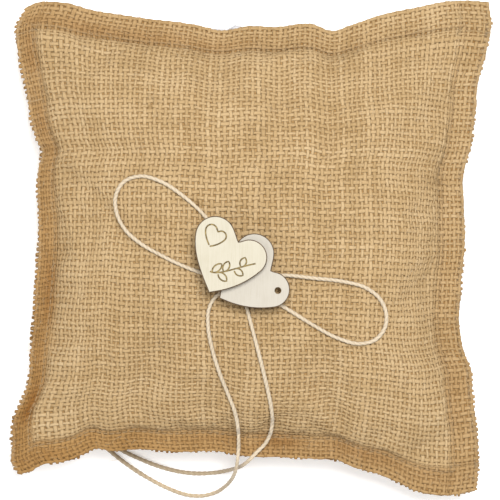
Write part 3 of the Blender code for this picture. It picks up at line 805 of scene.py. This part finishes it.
def burnt_material(name, dark, light):
    """Wood browned by the laser: the cut edge, or the engraved lines."""
    made = Finish(name, {"Roughness": 0.8})
    stripes = made.noise(1.0, 3.0, (900, 900, 60))
    return made.finished(made.ramp(stripes, (0.3, dark), (0.7, light)), stripes, 0.5, 0.1 * MM)


def glue_material(name):
    made = Finish(name, {
        "Roughness": 0.25, "Subsurface Weight": 0.2, "Subsurface Radius": (MM, MM, MM),
    })
    cloud = made.noise(500.0, 3.0)
    return made.finished(made.ramp(cloud, (0.3, (0.70, 0.67, 0.58)), (0.7, (0.84, 0.82, 0.75))))


# Burlap


class Yarns:
    """The warp or the weft of one cover, as arrays of yarns by rings along them."""

    def __init__(self, kind, places, crossings, ends, raw, seed, random):
        """Lays the yarns in the cushion's own plan, each to its own ragged end."""
        self.kind, self.seed, self.random = kind, seed, random
        self.count = count = len(places)
        self.number = np.arange(count)[:, None]
        self.step = places[1] - places[0]
        self.share = np.linspace(0.0, 1.0, len(crossings) * RINGS_PER_PITCH + SPARE_RINGS)[None, :]
        reach = []
        for side, (end, frayed) in enumerate(zip(ends, raw)):
            ragged = RAGGED * noise(places * 14 + 5, 7.0 * side + 40, seed + 7)
            fray = random.uniform(-FRAY, FRAY, count) + ragged
            reach.append((end + frayed * fray / HALF_SIDE)[:, None])
        self.along = reach[0] * (1 - self.share) + reach[1] * self.share
        start, end = crossings[0], crossings[-1]
        beyond = np.maximum(start - self.along, self.along - end) * HALF_SIDE
        self.loose = np.clip(beyond / LOOSE_LENGTH, 0.0, 1.0)
        drift = sum(self.uneven(*band) for band in YARN_DRIFT)
        drift = drift + self.loose * random.uniform(-LOOSE_DRIFT, LOOSE_DRIFT, (count, 1))
        across = places[:, None] + drift * self.step
        index = (self.along - start) / (end - start) * (len(crossings) - 1)
        sign = 1.0 if kind == "warp" else -1.0
        self.wave = sign * np.cos(math.pi * (index + self.number)) * (1.0 - 0.9 * self.loose)
        self.u, self.v = (across, self.along) if kind == "warp" else (self.along, across)

    def uneven(self, strength, waves, offset, spread, seed):
        """Noise along each yarn, different from one yarn to the next."""
        along, number = self.along * waves + offset, self.number * spread + self.seed
        return strength * noise(along, number, self.seed + seed)

    def rings(self, surface, outward):
        """Rings around the yarns, as they lie over and under each other on the surface."""
        self.here, du, dv, normal = frame_on(surface, self.u, self.v, outward)
        run, side = (dv, du) if self.kind == "warp" else (du, dv)
        spacing = np.linalg.norm(side, axis=-1) * self.step
        thick = 1.0 + sum(self.uneven(*band) for band in YARN_SWELLING)
        thick += YARN_SPREAD * self.random.uniform(-1, 1, (self.count, 1))
        self.slubs = self.uneven(*YARN_SLUBS)
        thick += SLUB_SWELLING * np.clip(self.slubs - SLUB_START, 0, 1) / (1 - SLUB_START)
        from_end = np.minimum(self.share, 1 - self.share) * (self.share.size - 1)
        taper = np.where(from_end < 2, 0.55 + 0.225 * from_end, 1.0)
        half = (YARN_HALF_WIDTH * thick + LOOSE_WIDENING * self.loose) * spacing * taper
        flat = YARN_HALF_THICKNESS * (0.7 + 0.3 * thick) * taper
        sag = self.loose * self.random.uniform(-0.5, 0.3, (self.count, 1)) * MM
        centre = self.here + normal * (WEAVE_RISE * self.wave + sag * outward)[..., None]
        sideways = unit(side - run * ((side * run).sum(-1) / (run * run).sum(-1))[..., None])
        upright = unit(np.cross(run, sideways))
        upright = upright * np.sign((upright * normal).sum(-1))[..., None]
        turn = around(YARN_SIDES)
        if (np.cross(sideways, upright) * run).sum() < 0:
            turn = -turn
        strand = turn * 0.64 + self.along[..., None] * 170.0 + self.number[..., None] * 4.1
        rough = 1.0 + STRAND_ROUGHNESS * noise(self.along[..., None] * 48, strand, self.seed + 6)
        self.level = WEAVE_RISE * self.wave[..., None] + np.sin(turn) * flat[..., None]
        return rings_on(centre, sideways, upright, turn, half[..., None] * rough, flat[..., None] * rough)

    def shades(self):
        """The yarns' own tones, golden raw ends with painted shade on the left and lower flange, and
        painted shade in the weave's depth and folds.
        """
        u, v, x, y = self.u, self.v, self.here[..., 0], self.here[..., 1]
        tone = 0.5 + 0.20 * self.random.uniform(-1, 1, (self.count, 1))
        tone = tone + self.uneven(*YARN_TONES)
        tone = tone - 0.35 * np.clip(self.slubs - 0.80, 0, 1) / 0.2
        for fx, fy, radius in FLECKS:
            near = (x - fx * MM) ** 2 + (y - fy * MM) ** 2
            tone = tone - 0.9 * np.exp(-near / (radius * MM) ** 2)
        out = np.maximum(np.abs(u), np.abs(v))
        # Painted shade: the flange is browned more on the left and bottom, which face away from the light,
        # than on the right and top; the loose ends' gold is their own colour
        shaded = np.clip(0.50 - 0.32 * u - 0.30 * v, 0.05, 1.0)
        raw = shaded * np.clip((out - SEAM + 0.05) / 0.08, 0, 1) + 0.30 * self.loose
        # Painted shade: dark patches in the folds along the seam, strongest on the left and bottom, added
        # to the depth attribute
        fold_shade_patches = 0.35 + 0.9 * noise(x / 0.013 + 70, y / 0.013 + 80, 28)
        painted_fold_shade = np.clip(0.45 - 0.45 * u - 0.25 * v, 0, 1) * np.exp(-(((out - 0.915) / 0.045) ** 2))
        # Painted shade: a yarn is darker where it dips under the yarns that cross it
        depth = np.clip(0.5 - 0.5 * self.level / REACH, 0, 1) ** 3
        depth = np.clip(depth + (0.9 * painted_fold_shade * np.clip(fold_shade_patches, 0, 1))[..., None], 0, 1)
        sides = np.ones(YARN_SIDES)
        return {"tone": tone[..., None] * sides, "raw": raw[..., None] * sides, "depth": depth}


def weave(name, surface, outward, seed, finish, node):
    """All the yarns of one cover, in pieces of neighbouring yarns."""
    random = np.random.RandomState(seed)
    first_u, last_u = -1.0 + LEFT_FRINGE / HALF_SIDE, 1.0 - RIGHT_FRINGE / HALF_SIDE
    first_v, last_v = -1.0 + LOW_FRINGE / HALF_SIDE, 1.0 + FOLD_LENGTH / HALF_SIDE
    warps = int((last_u - first_u) * HALF_SIDE / WARP_PITCH) + 1
    wefts = int((last_v - first_v) * HALF_SIDE / WEFT_PITCH) + 1
    us, vs = np.linspace(first_u, last_u, warps), np.linspace(first_v, last_v, wefts)
    for kind, places, crossings, ends, raw in (
        ("warp", us, vs, (-1.0, last_v), (True, False)),
        ("weft", vs, us, (-1.0, 1.0), (True, True)),
    ):
        yarns = Yarns(kind, places, crossings, ends, raw, seed, random)
        points, shades = yarns.rings(surface, outward), yarns.shades()
        for number, begin in enumerate(range(0, len(places), YARNS_PER_PIECE), 1):
            part = slice(begin, begin + YARNS_PER_PIECE)
            made = tubes(f"{name}_{kind}_yarns_{number}", points[part], PILLOW)
            for shade, values in shades.items():
                point_attribute(made, shade, values[part])
            dress(made, finish[kind], node)


def burlap():
    """Both covers: woven yarns over a dark sheet of painted shade that closes the gaps."""
    shade = gap_shade_material("burlap_gap_shade")
    lines = grid_lines(-SHADE_SHEET_REACH, SHADE_SHEET_REACH)
    stretch = {"warp": (6000, 520, 6000), "weft": (520, 6000, 6000)}
    for name, surface, outward, seed in (("front", front, 1.0, 101), ("back", back, -1.0, 201)):
        node, slot = name + "_cover", "burlap_" + name
        finish = {kind: burlap_material(f"jute_{name}_{kind}", stretch[kind]) for kind in stretch}
        weave(name + "_burlap", surface, outward, seed, finish, node)
        # A dark sheet of painted shade just under the yarns, seen through the gaps
        u, v = np.meshgrid(lines, grid_lines(-SHADE_SHEET_REACH, 1.0), indexing="ij")
        here, _, _, normal = frame_on(surface, u, v, outward)
        sheets = here - normal * SHADE_SHEET_TOP, here - normal * SHADE_SHEET_LOW
        upper, lower = sheets if outward > 0 else sheets[::-1]
        shade_sheet = closed_grid(name + "_burlap_ground", upper, lower, PILLOW)
        edge = np.clip((np.maximum(np.abs(u), np.abs(v)) - SEAM + 0.03) / 0.05, 0, 1)
        point_attribute(shade_sheet, "flange", np.concatenate([edge.ravel(), edge.ravel()]))
        dress(shade_sheet, shade, node)


# Seam


def ring_on(surface, reach, outward, lift, step):
    """Evenly spaced points, directions and normals around the seam."""
    side = np.linspace(-1, 1, 400, endpoint=False)
    ones = np.ones(400)
    u = np.concatenate([side, ones, -side, -ones]) * reach
    v = np.concatenate([-ones, side, ones, -side]) * reach
    here, _, _, normal = frame_on(surface, u, v, outward)
    here = here + normal * lift
    loop, normals = np.concatenate([here, here[:1]]), np.concatenate([normal, normal[:1]])
    at = lengths_along(loop)
    count = int(at[-1] / step)
    wanted = np.arange(count) * at[-1] / count
    return resampled(loop, at, wanted), unit(resampled(normals, at, wanted))


def stitches(name, surface, outward, finish, node):
    """One lockstitch after another, each dipping into the cloth at both ends."""
    reach = SEAM + SEAM_TO_THREAD / HALF_SIDE
    points, normals = ring_on(surface, reach, outward, REACH, STITCH_LENGTH / STITCH_STEPS)
    count = len(points) // STITCH_STEPS
    shape = count, STITCH_STEPS, 3
    points = points[: count * STITCH_STEPS].reshape(shape)
    normals = normals[: count * STITCH_STEPS].reshape(shape)
    share = np.linspace(-1, 1, STITCH_STEPS)
    dip = 0.05 * MM - STITCH_DIP * share**6
    centre = points + normals * dip[None, :, None]
    run = unit(np.gradient(centre, axis=1))
    sideways = unit(np.cross(run, normals))
    upright = np.cross(sideways, run)
    radius = (np.where(np.abs(share) > 0.99, 0.6, 1.0) * THREAD_RADIUS)[:, None]
    rings = rings_on(centre, upright, sideways, around(6), radius, radius)
    if (np.cross(upright, sideways) * run).sum() < 0:
        rings = rings[..., ::-1, :]
    dress(tubes(name, rings, PILLOW), finish, node)


def seam():
    thread = cloth_material("sewing_thread", (0.33, 0.215, 0.10), (0.21, 0.13, 0.055), 2500.0, 0.85, 0.0)
    stitches("needle_stitches", front, 1.0, thread, "needle_thread")
    stitches("bobbin_stitches", back, -1.0, thread, "bobbin_thread")


# Lining and filling


def lining():
    """Two white sheets under the covers, with a wisp that looks out at the top edge."""
    finish = cloth_material("lining_cotton", (0.80, 0.79, 0.76), (0.70, 0.69, 0.65), 1800.0)
    lines = grid_lines(-LINING_REACH, LINING_REACH)
    u, v = np.meshgrid(lines, lines, indexing="ij")
    top, low = front(u, v), back(u, v)
    room = (top - low)[..., 2:]
    upright = np.abs(frame_on(front, u, v, 1.0)[3][..., 2:])
    outer = np.minimum(0.36, LINING_TOP / (upright * room))
    inner = np.minimum(0.45, LINING_LOW / (upright * room))
    sheets = {
        "lining_front": (top + (low - top) * outer, top + (low - top) * inner),
        "lining_back": (low + (top - low) * inner, low + (top - low) * outer),
    }
    for name, (upper, lower) in sheets.items():
        dress(closed_grid(name + "_cloth", upper, lower, PILLOW), finish, name)
    wisp()


def wisp():
    """The crumpled bit of lining between the covers at the top edge, in a greyer copy of the lining's
    cotton as painted shade.
    """
    columns, rows = 72, 12
    a, b = np.meshgrid(np.linspace(0, 1, columns), np.linspace(0, 1, rows), indexing="ij")
    u, v = WISP_FROM + WISP_WIDTH * a, 0.90 + 0.10 * b
    rim = 0.5 * (front(u, v) + back(u, v))
    torn = 0.85 + 0.5 * noise(a * 7.0, 4.0, 61) + 0.2 * noise(a * 19.0, 9.0, 63)
    out = WISP_OUT + WISP_MIDDLE * np.sin(math.pi * a) * torn
    waves = WISP_WAVE * noise(a * 15.0, b * 2.0, 62)
    middle = rim + np.stack([np.zeros_like(a), out * b**3, waves * b], -1)
    half = np.array([0.0, 0.0, WISP_HALF_THICKNESS])
    made = closed_grid("lining_wisp", middle + half, middle - half, PILLOW)
    # Painted shade: the wisp's cotton is a greyer copy of the white lining's
    finish = cloth_material("wisp_shaded_cotton", (0.62, 0.62, 0.63), (0.33, 0.32, 0.33), 420.0)
    dress(made, finish, "lining_front")


def filling():
    """The lumpy stuffing, a little inside the linings."""
    side = np.linspace(-1, 1, 61) * STUFFING_REACH * SEAM
    u, v = np.meshgrid(side, side, indexing="ij")
    upper, lower = front(u, v), back(u, v)
    x, y = upper[..., 0] / LUMP_SIZE, upper[..., 1] / LUMP_SIZE
    room = upper[..., 2] - lower[..., 2]
    lumps = 0.5 + 0.5 * noise(x + 3, y + 6, 71)
    inset = np.minimum(STUFFING_INSET + LUMP_DEPTH * lumps, 0.35 * room)
    upper[..., 2] -= inset
    lower[..., 2] += inset
    made = closed_grid("fibre_stuffing", upper, lower, PILLOW)
    finish = cloth_material("polyester_fibre", (0.90, 0.90, 0.90), (0.74, 0.74, 0.74), 700.0, 1.0)
    dress(made, finish, "fibre_fill")


# Twine


def carried_frames(points):
    """Directions across each point of a line, turned as little as possible along it."""
    run = unit(np.gradient(points, axis=0))
    side = np.cross(run[0], (0.0, 0.0, 1.0))
    if np.linalg.norm(side) < 1e-6:
        side = np.array([1.0, 0.0, 0.0])
    sides = np.empty_like(points)
    for i, direction in enumerate(run):
        side = side - direction * side.dot(direction)
        side = side / np.linalg.norm(side)
        sides[i] = side
    return sides, np.cross(run, sides)


def even(points, step):
    """The smooth curve through points, resampled about a step apart."""
    fine = spline(points, np.linspace(0, 1, 40 * len(points)))
    at = lengths_along(fine)
    return resampled(fine, at, np.linspace(0.0, at[-1], max(4, int(round(at[-1] / step)) + 1)))


def cover_top():
    """The front cover's middle surface, to lay twine on."""
    side = np.linspace(-1, 1, 221)
    u, v = np.meshgrid(side, side, indexing="ij")
    quads = grid_quads(np.arange(u.size).reshape(u.shape))
    return BVHTree.FromPolygons(front(u, v).reshape(-1, 3).tolist(), quads.tolist())


def laid(tree, route, height):
    """Route points of x, y and lift in millimetres, put on the cover."""
    placed = []
    for x, y, lift in even(np.array(route, float) * MM, 1.6 * MM):
        hit, normal, _, _ = tree.ray_cast(Vector((x, y, 0.2)), Vector((0.0, 0.0, -1.0)))
        placed.append((x, y, hit.z + height / abs(normal.z) + lift))
    return np.array(placed)


def twine(name, points, finish, seed, loosened=0.0):
    """A twisted two-ply mesh tube along evenly spaced points, swollen where it is loosened and darker there
    with painted shade.
    """
    sides, uprights = carried_frames(points)
    random = np.random.RandomState(seed)
    theta = around(TWINE_SIDES)
    at = np.arange(len(points)) * TWINE_STEP
    twist = at / TWIST_LENGTH * math.tau + 0.5 * noise(at / 0.011 + seed, 1.0, seed)
    lobes = np.abs(np.cos(theta))
    fat = 1.0 + 0.07 * noise(at / 0.006 + 3, 2.0, seed + 1)
    radius = 0.5 * TWINE * (0.92 + 0.22 * lobes) * fat[:, None]
    radius = radius * (1.0 + 0.03 * random.uniform(-1, 1, (len(points), TWINE_SIDES)))
    share = np.linspace(0.0, 1.0, len(points))
    # Towards the loosened ends the twine swells as it untwists, and takes painted shade
    untwisted_and_shaded = loosened * np.clip((share - 0.45) / 0.25, 0.0, 1.0)
    taper = 1.0 + AGED_SWELLING * untwisted_and_shaded
    taper[0] = taper[-1] = 0.6
    radius = radius * taper[:, None]
    rings = rings_on(points, sides, uprights, theta + twist[:, None], radius, radius)
    made = tubes(name, rings[None], None)
    point_attribute(made, "ply", np.broadcast_to(lobes, radius.shape))
    point_attribute(made, "untwisted_and_shaded", np.broadcast_to(untwisted_and_shaded[:, None], radius.shape))
    made.data.materials.append(finish)
    return made


def bow_strands(finish):
    """Two loops and two tails, laid on the front cover."""
    tree = cover_top()
    height = REACH + 0.45 * TWINE + TWINE_GAP
    for number, (node, route, drop, reach) in enumerate((
        ("bow_loop_left", LEFT_LOOP, [], (-0.92, 0.40, 0.0)),
        ("bow_loop_right", RIGHT_LOOP, [], (0.97, -0.22, 0.0)),
        ("tail_left", LEFT_TAIL, LEFT_TAIL_DROP, (-0.35, -0.94, 0.0)),
        ("tail_right", RIGHT_TAIL, RIGHT_TAIL_DROP, (0.2, -0.98, 0.0)),
    )):
        points = laid(tree, route, height)
        if drop:
            points = np.concatenate([points, np.array(drop) * MM])
        points = even(points, TWINE_STEP)
        made = twine(node + "_twine", points, finish, 300 + 10 * number, 1.0 if drop else 0.0)
        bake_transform(made)
        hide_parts(node)


def knot_and_tack(finish):
    """The bow's knot, a trefoil of the same twine, and the stitches that hold it down."""
    t = np.linspace(0, math.tau, 97)[:-1]
    half = 0.5 * (KNOT_HIGH[2] - KNOT_LOW[2])
    spread = (0.5 * (KNOT_HIGH[0] - KNOT_LOW[0]) - 0.5 * TWINE) / 3.0
    x = spread * (np.sin(t) + 2 * np.sin(2 * t))
    y = spread * (np.cos(t) - 2 * np.cos(2 * t))
    z = -(half - 0.5 * TWINE) * np.sin(3 * t)
    points = np.stack([x, y, z], -1) + [KNOT_CENTRE.x, KNOT_CENTRE.y, KNOT_LOW[2] + half]
    made = twine("bow_knot_twine", even(points, TWINE_STEP), finish, 350)
    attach(made, BOW)
    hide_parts("bow_knot")
    thread = cloth_material("tack_sewing_thread", (0.42, 0.32, 0.19), (0.29, 0.20, 0.11), 2500.0, 0.7)
    low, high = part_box("tack_thread")
    staples = []
    for turn in TACK_TURNS:
        lean = Vector((math.cos(math.radians(turn)), math.sin(math.radians(turn)), 0.0))
        corners = []
        for share, level in ((-1, 0), (-1, 0.5), (-1, 1), (0, 1.02), (1, 1), (1, 0.5), (1, 0)):
            place = KNOT_CENTRE + lean * (share * TACK_HALF)
            rise = TACK_INSET + level * (high[2] - low[2] - 2 * TACK_INSET)
            corners.append((place.x, place.y, low[2] + rise))
        line = even(np.array(corners), 0.4 * MM)
        staples.append(rings_on(line, *carried_frames(line), around(8), TACK_RADIUS, TACK_RADIUS))
    shortest = min(len(rings) for rings in staples)
    made = tubes("tack_stitches", np.stack([rings[:shortest] for rings in staples]), PILLOW)
    dress(made, thread, "tack_thread")


# Hearts and glue


def bezier(a, b, c, d, steps):
    t = np.linspace(0, 1, steps)[:, None]
    a, b, c, d = (np.asarray(p, float) for p in (a, b, c, d))
    return (1 - t) ** 3 * a + 3 * (1 - t) ** 2 * t * b + 3 * (1 - t) * t**2 * c + t**3 * d


def half_outline(side, lobe):
    x, y, radius = lobe
    angles = np.radians(np.linspace(*LOBE_ANGLES, 26))
    arc = np.stack([x + side * radius * np.cos(angles), y + radius * np.sin(angles)], -1)

    def towards(degrees):
        return np.array([side * math.sin(math.radians(degrees)), math.cos(math.radians(degrees))])

    tip, cleft = np.zeros(2), np.array([0.0, CLEFT_RISE])
    start, end = LOBE_ANGLES
    flank = bezier(
        tip, tip + towards(TIP_HALF_ANGLE) * SIDE_FULLNESS,
        arc[0] - towards(-start) * SIDE_FULLNESS, arc[0], 14,
    )
    slope = bezier(
        arc[-1], arc[-1] + towards(-end) * CLEFT_FULLNESS,
        cleft + towards(CLEFT_HALF_ANGLE) * CLEFT_FULLNESS, cleft, 8,
    )
    return np.concatenate([flank, arc[1:], slope[1:]])


def heart_outline():
    """The outline in millimetres, from the tip up the right side and back down the left."""
    right, left = half_outline(1.0, RIGHT_LOBE), half_outline(-1.0, LEFT_LOBE)
    return np.concatenate([right, left[-2:0:-1]])


def inward(outline, depth):
    """The outline moved inwards by a depth."""
    before, after = np.roll(outline, 1, 0), np.roll(outline, -1, 0)
    run = unit(unit(outline - before) + unit(after - outline))
    return outline + np.stack([-run[:, 1], run[:, 0]], -1) * depth


def groove(line):
    """Rings of a rod along a line of plan points in metres, to cut a groove with."""
    points = np.column_stack([line, np.zeros(len(line))])
    up = np.array([0.0, 0.0, 1.0])
    side = unit(np.cross(unit(np.gradient(points, axis=0)), up))
    return rings_on(points, side, up, around(8), GROOVE, GROOVE_DEPTH)


def sprig():
    """A generic engraved sprig: a stem with leaves to both sides, in millimetres."""
    stem = bezier((-4.0, 7.6), (-0.2, 7.6), (4.6, 14.6), (10.4, 19.6), 24)
    lines = [stem]
    for share, side in ((0.10, 1), (0.28, -1), (0.42, 1), (0.62, -1), (0.74, 1)):
        base = stem[int(share * (len(stem) - 1))]
        ahead = unit(stem[int(share * (len(stem) - 1)) + 1] - base)
        turn = math.atan2(ahead[1], ahead[0]) + math.radians(52.0 * side)
        lean = np.array([math.cos(turn), math.sin(turn)])
        across = np.array([-lean[1], lean[0]])
        tip = base + lean * (5.2 - 1.4 * share)
        bulge = 1.7 * across
        upper = bezier(base, base + lean + bulge, tip - lean + bulge, tip, 9)
        lower = bezier(tip, tip - lean - bulge, base + lean - bulge, base, 9)
        lines.append(np.concatenate([upper, lower[1:-1]]))
    return lines


def cut(target, cutters, finish):
    """The target with the cutters taken out of it; the cut faces get the finish."""
    cutters.data.materials.append(finish)
    tool = target.modifiers.new("engraving", "BOOLEAN")
    tool.operation = "DIFFERENCE"
    tool.solver = "EXACT"
    tool.use_self = True
    tool.material_mode = "TRANSFER"
    tool.object = cutters
    bpy.context.view_layer.update()
    shown = target.evaluated_get(bpy.context.evaluated_depsgraph_get())
    mesh = bpy.data.meshes.new_from_object(shown)
    target.modifiers.clear()
    mesh.shade_flat()
    target.data = mesh
    bpy.data.objects.remove(cutters)


def heart(name, node, place, finish, burnt, engraved, strokes, hole):
    """A plywood heart with a burnt rim, its engraving and perhaps a hole."""
    low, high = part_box(node)
    thickness = high[2] - low[2]
    outline = heart_outline() * MM
    inner = inward(outline, BURNT_EDGE)
    bevel = 0.5 * BURNT_EDGE
    levels = [(inner, 0.0), (outline, bevel), (outline, thickness - bevel), (inner, thickness)]
    rings = np.stack([np.column_stack([ring, np.full(len(ring), level)]) for ring, level in levels])
    made = tubes(name, rings[None], None, bake_map=False)
    made.data.materials.append(finish)
    made.data.materials.append(burnt)
    faces = np.ones(len(made.data.polygons), np.int32)
    faces[-2:] = 0
    made.data.polygons.foreach_set("material_index", faces)
    grooves = [groove(line * MM) + [0.0, 0.0, thickness] for line in strokes]
    if grooves:
        cut(made, joined_tubes(name + "_graver", grooves), engraved)
    if hole:
        x, y, radius = (value * MM for value in HOLE)
        theta = around(40)
        circle = np.stack([x + radius * np.cos(theta), y + radius * np.sin(theta), theta * 0], -1)
        drill = np.stack([circle - [0, 0, MM], circle + [0, 0, thickness + MM]])
        cut(made, joined_tubes(name + "_drill", [drill]), burnt)
    x, y, turn = place
    spin = Matrix.Rotation(math.radians(turn), 4, "Z")
    made.data.transform(Matrix.Translation((x * MM, y * MM, low[2])) @ spin)
    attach(made, BOW)
    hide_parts(node)


def joined_tubes(name, parts):
    """One object of several closed tubes with different numbers of rings."""
    bm = bmesh.new()
    for rings in parts:
        piece = tubes(name, rings[None], None, bake_map=False)
        bm.from_mesh(piece.data)
        bpy.data.objects.remove(piece)
    bmesh.ops.recalc_face_normals(bm, faces=bm.faces)
    mesh = bpy.data.meshes.new(name)
    bm.to_mesh(mesh)
    bm.free()
    made = bpy.data.objects.new(name, mesh)
    bpy.context.collection.objects.link(made)
    return made


def hearts():
    """The rear heart with its hole, the engraved front heart, and the glue under each."""
    burnt = burnt_material("laser_burnt_wood", (0.032, 0.017, 0.007), (0.095, 0.055, 0.024))
    engraved = burnt_material("laser_engraving", (0.075, 0.047, 0.016), (0.300, 0.225, 0.090))
    strokes = [heart_outline() * SMALL_HEART_SCALE + SMALL_HEART_PLACE, *sprig()]
    for end, place, light, dark, turn, lines in (
        ("rear", REAR_HEART, (0.368, 0.337, 0.281), (0.335, 0.302, 0.247), 20.0, []),
        ("front", FRONT_HEART, (0.400, 0.366, 0.284), (0.362, 0.326, 0.243), 75.0, strokes),
    ):
        wood = wood_material("birch_" + end, light, dark, turn)
        name, node = f"heart_{end}_plywood", "heart_" + end
        heart(name, node, place, wood, burnt, engraved, lines, hole=end == "rear")
    glue = glue_material("craft_glue")
    for number, node in enumerate(("glue_dab_rear", "glue_dab_front")):
        low, high = (Vector(corner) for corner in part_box(node))
        dab(node + "_blob", 0.5 * (low + high), 0.5 * (high - low), glue, node, 80 + number)


def dab(name, centre, half, finish, node, seed):
    """A squeezed blob of glue: a round cushion with an uneven rim."""
    rings, sides = 9, 40
    theta = around(sides)
    rim = 1.0 + 0.10 * noise(theta / math.tau * 7, float(seed), seed)
    rim[-1] = 0.5 * (rim[-2] + rim[0])
    turn = np.linspace(-0.5, 0.5, rings) * math.pi * 0.96
    radius, level = np.cos(turn) ** 0.45, np.sin(turn)
    points = np.stack([
        centre.x + half.x * radius[:, None] * (rim * np.cos(theta))[None, :],
        centre.y + half.y * radius[:, None] * (rim * np.sin(theta))[None, :],
        np.broadcast_to((centre.z + (half.z + 0.12 * MM) * level)[:, None], (rings, sides)),
    ], -1)
    dress(tubes(name, points[None], BOW, bake_map=False), finish, node)


# Loose fibres


def fuzz():
    """Fine hairs that stand off the jute, and a few long ones at the raw edges."""
    finish = cloth_material("loose_jute_fibres", (0.52, 0.40, 0.24), (0.40, 0.28, 0.15), 900.0)
    random = np.random.RandomState(901)
    for name, surface, outward, count in (
        ("front", front, 1.0, FRONT_HAIRS), ("back", back, -1.0, BACK_HAIRS),
    ):
        u, v = random.uniform(-HAIR_REACH, HAIR_REACH, (2, count))
        edge = np.arange(count) % 3 == 0
        u[edge] = np.where(random.uniform(0, 1, edge.sum()) < 0.5, -1, 1) * EDGE_HAIR_REACH
        heading = random.uniform(0, math.tau, count)
        heading[edge] = np.where(u[edge] < 0, math.pi, 0.0) + random.normal(0, 0.7, edge.sum())
        bend = random.uniform(-0.5, 0.5, count)
        length = random.uniform(*HAIR_LENGTHS, count)
        share = np.linspace(0, 1, HAIR_STEPS)[None, :]
        turn = heading[:, None] + bend[:, None] * share * 3
        dx = np.cumsum(np.cos(turn), 1) / HAIR_STEPS * length[:, None]
        dy = np.cumsum(np.sin(turn), 1) / HAIR_STEPS * length[:, None]
        uu = np.clip(u[:, None] + dx / HALF_SIDE, -1.012, 1.012)
        vv = np.clip(v[:, None] + dy / HALF_SIDE, -0.99, 0.99)
        here, _, _, normal = frame_on(surface, uu, vv, outward)
        height = REACH + random.uniform(0.1, 0.9, count)[:, None] * MM * np.sin(math.pi * share)
        here = here + normal * (height - 0.1 * MM)[..., None]
        hairs(name + "_jute_fuzz", here, HAIR_RADIUS, finish, name + "_cover")
    lines = np.stack([spline(line, np.linspace(0, 1, 12)) for line in np.array(STRAY_FIBRES) * MM])
    hairs("stray_jute_fibres", lines, 2 * HAIR_RADIUS, finish, "front_cover")


def hairs(name, lines, radius, finish, node):
    """Thin tapering tubes along lines of points."""
    run = unit(np.gradient(lines, axis=1))
    side = unit(np.cross(run, np.broadcast_to([0.0, 0.0, 1.0], run.shape)))
    upright = np.cross(side, run)
    taper = np.linspace(1.0, 0.4, lines.shape[1])[:, None] * radius
    rings = rings_on(lines, side, upright, around(3), taper, taper)
    dress(tubes(name, rings[..., ::-1, :], PILLOW, bake_map=False), finish, node)


# Camera, light and floor


def stage():
    """A pale floor, soft studio light from the right and above, and the camera overhead."""
    scene = bpy.context.scene
    scene.view_settings.view_transform = "Standard"
    scene.view_settings.look = "None"
    bpy.ops.mesh.primitive_plane_add(size=6.0)
    floor = bpy.context.object
    floor.name = "floor"
    floor.data.materials.append(Finish("pale_floor", {
        "Roughness": 0.9, "Specular IOR Level": 0.1, "Base Color": (0.93, 0.93, 0.93, 1.0),
        "Emission Color": (1.0, 1.0, 1.0, 1.0), "Emission Strength": 0.25,
    }).material)
    world = bpy.data.worlds.new("studio")
    world.use_nodes = True
    background = world.node_tree.nodes["Background"]
    background.inputs["Color"].default_value = (1.0, 1.0, 1.0, 1.0)
    background.inputs["Strength"].default_value = WORLD_STRENGTH
    scene.world = world
    for name, place, size, power in LIGHTS:
        light = bpy.data.lights.new(name, "AREA")
        light.size = size
        light.energy = power
        lamp = bpy.data.objects.new(name, light)
        lamp.location = place
        lamp.rotation_euler = (-Vector(place)).to_track_quat("-Z", "Y").to_euler()
        scene.collection.objects.link(lamp)
    camera = bpy.data.cameras.new("camera")
    camera.sensor_width = 36.0
    camera.lens = camera.sensor_width * (CAMERA_HEIGHT - MIDDLE_Z) / SEEN_WIDTH
    camera.clip_end = 20.0
    looker = bpy.data.objects.new("camera", camera)
    looker.location = (*CAMERA_SHIFT, CAMERA_HEIGHT)
    scene.collection.objects.link(looker)
    scene.camera = looker


def main():
    stage()
    inflate()
    string = twine_material("cotton_twine")
    bow_strands(string)
    knot_and_tack(string)
    burlap()
    seam()
    lining()
    filling()
    hearts()
    fuzz()


main()
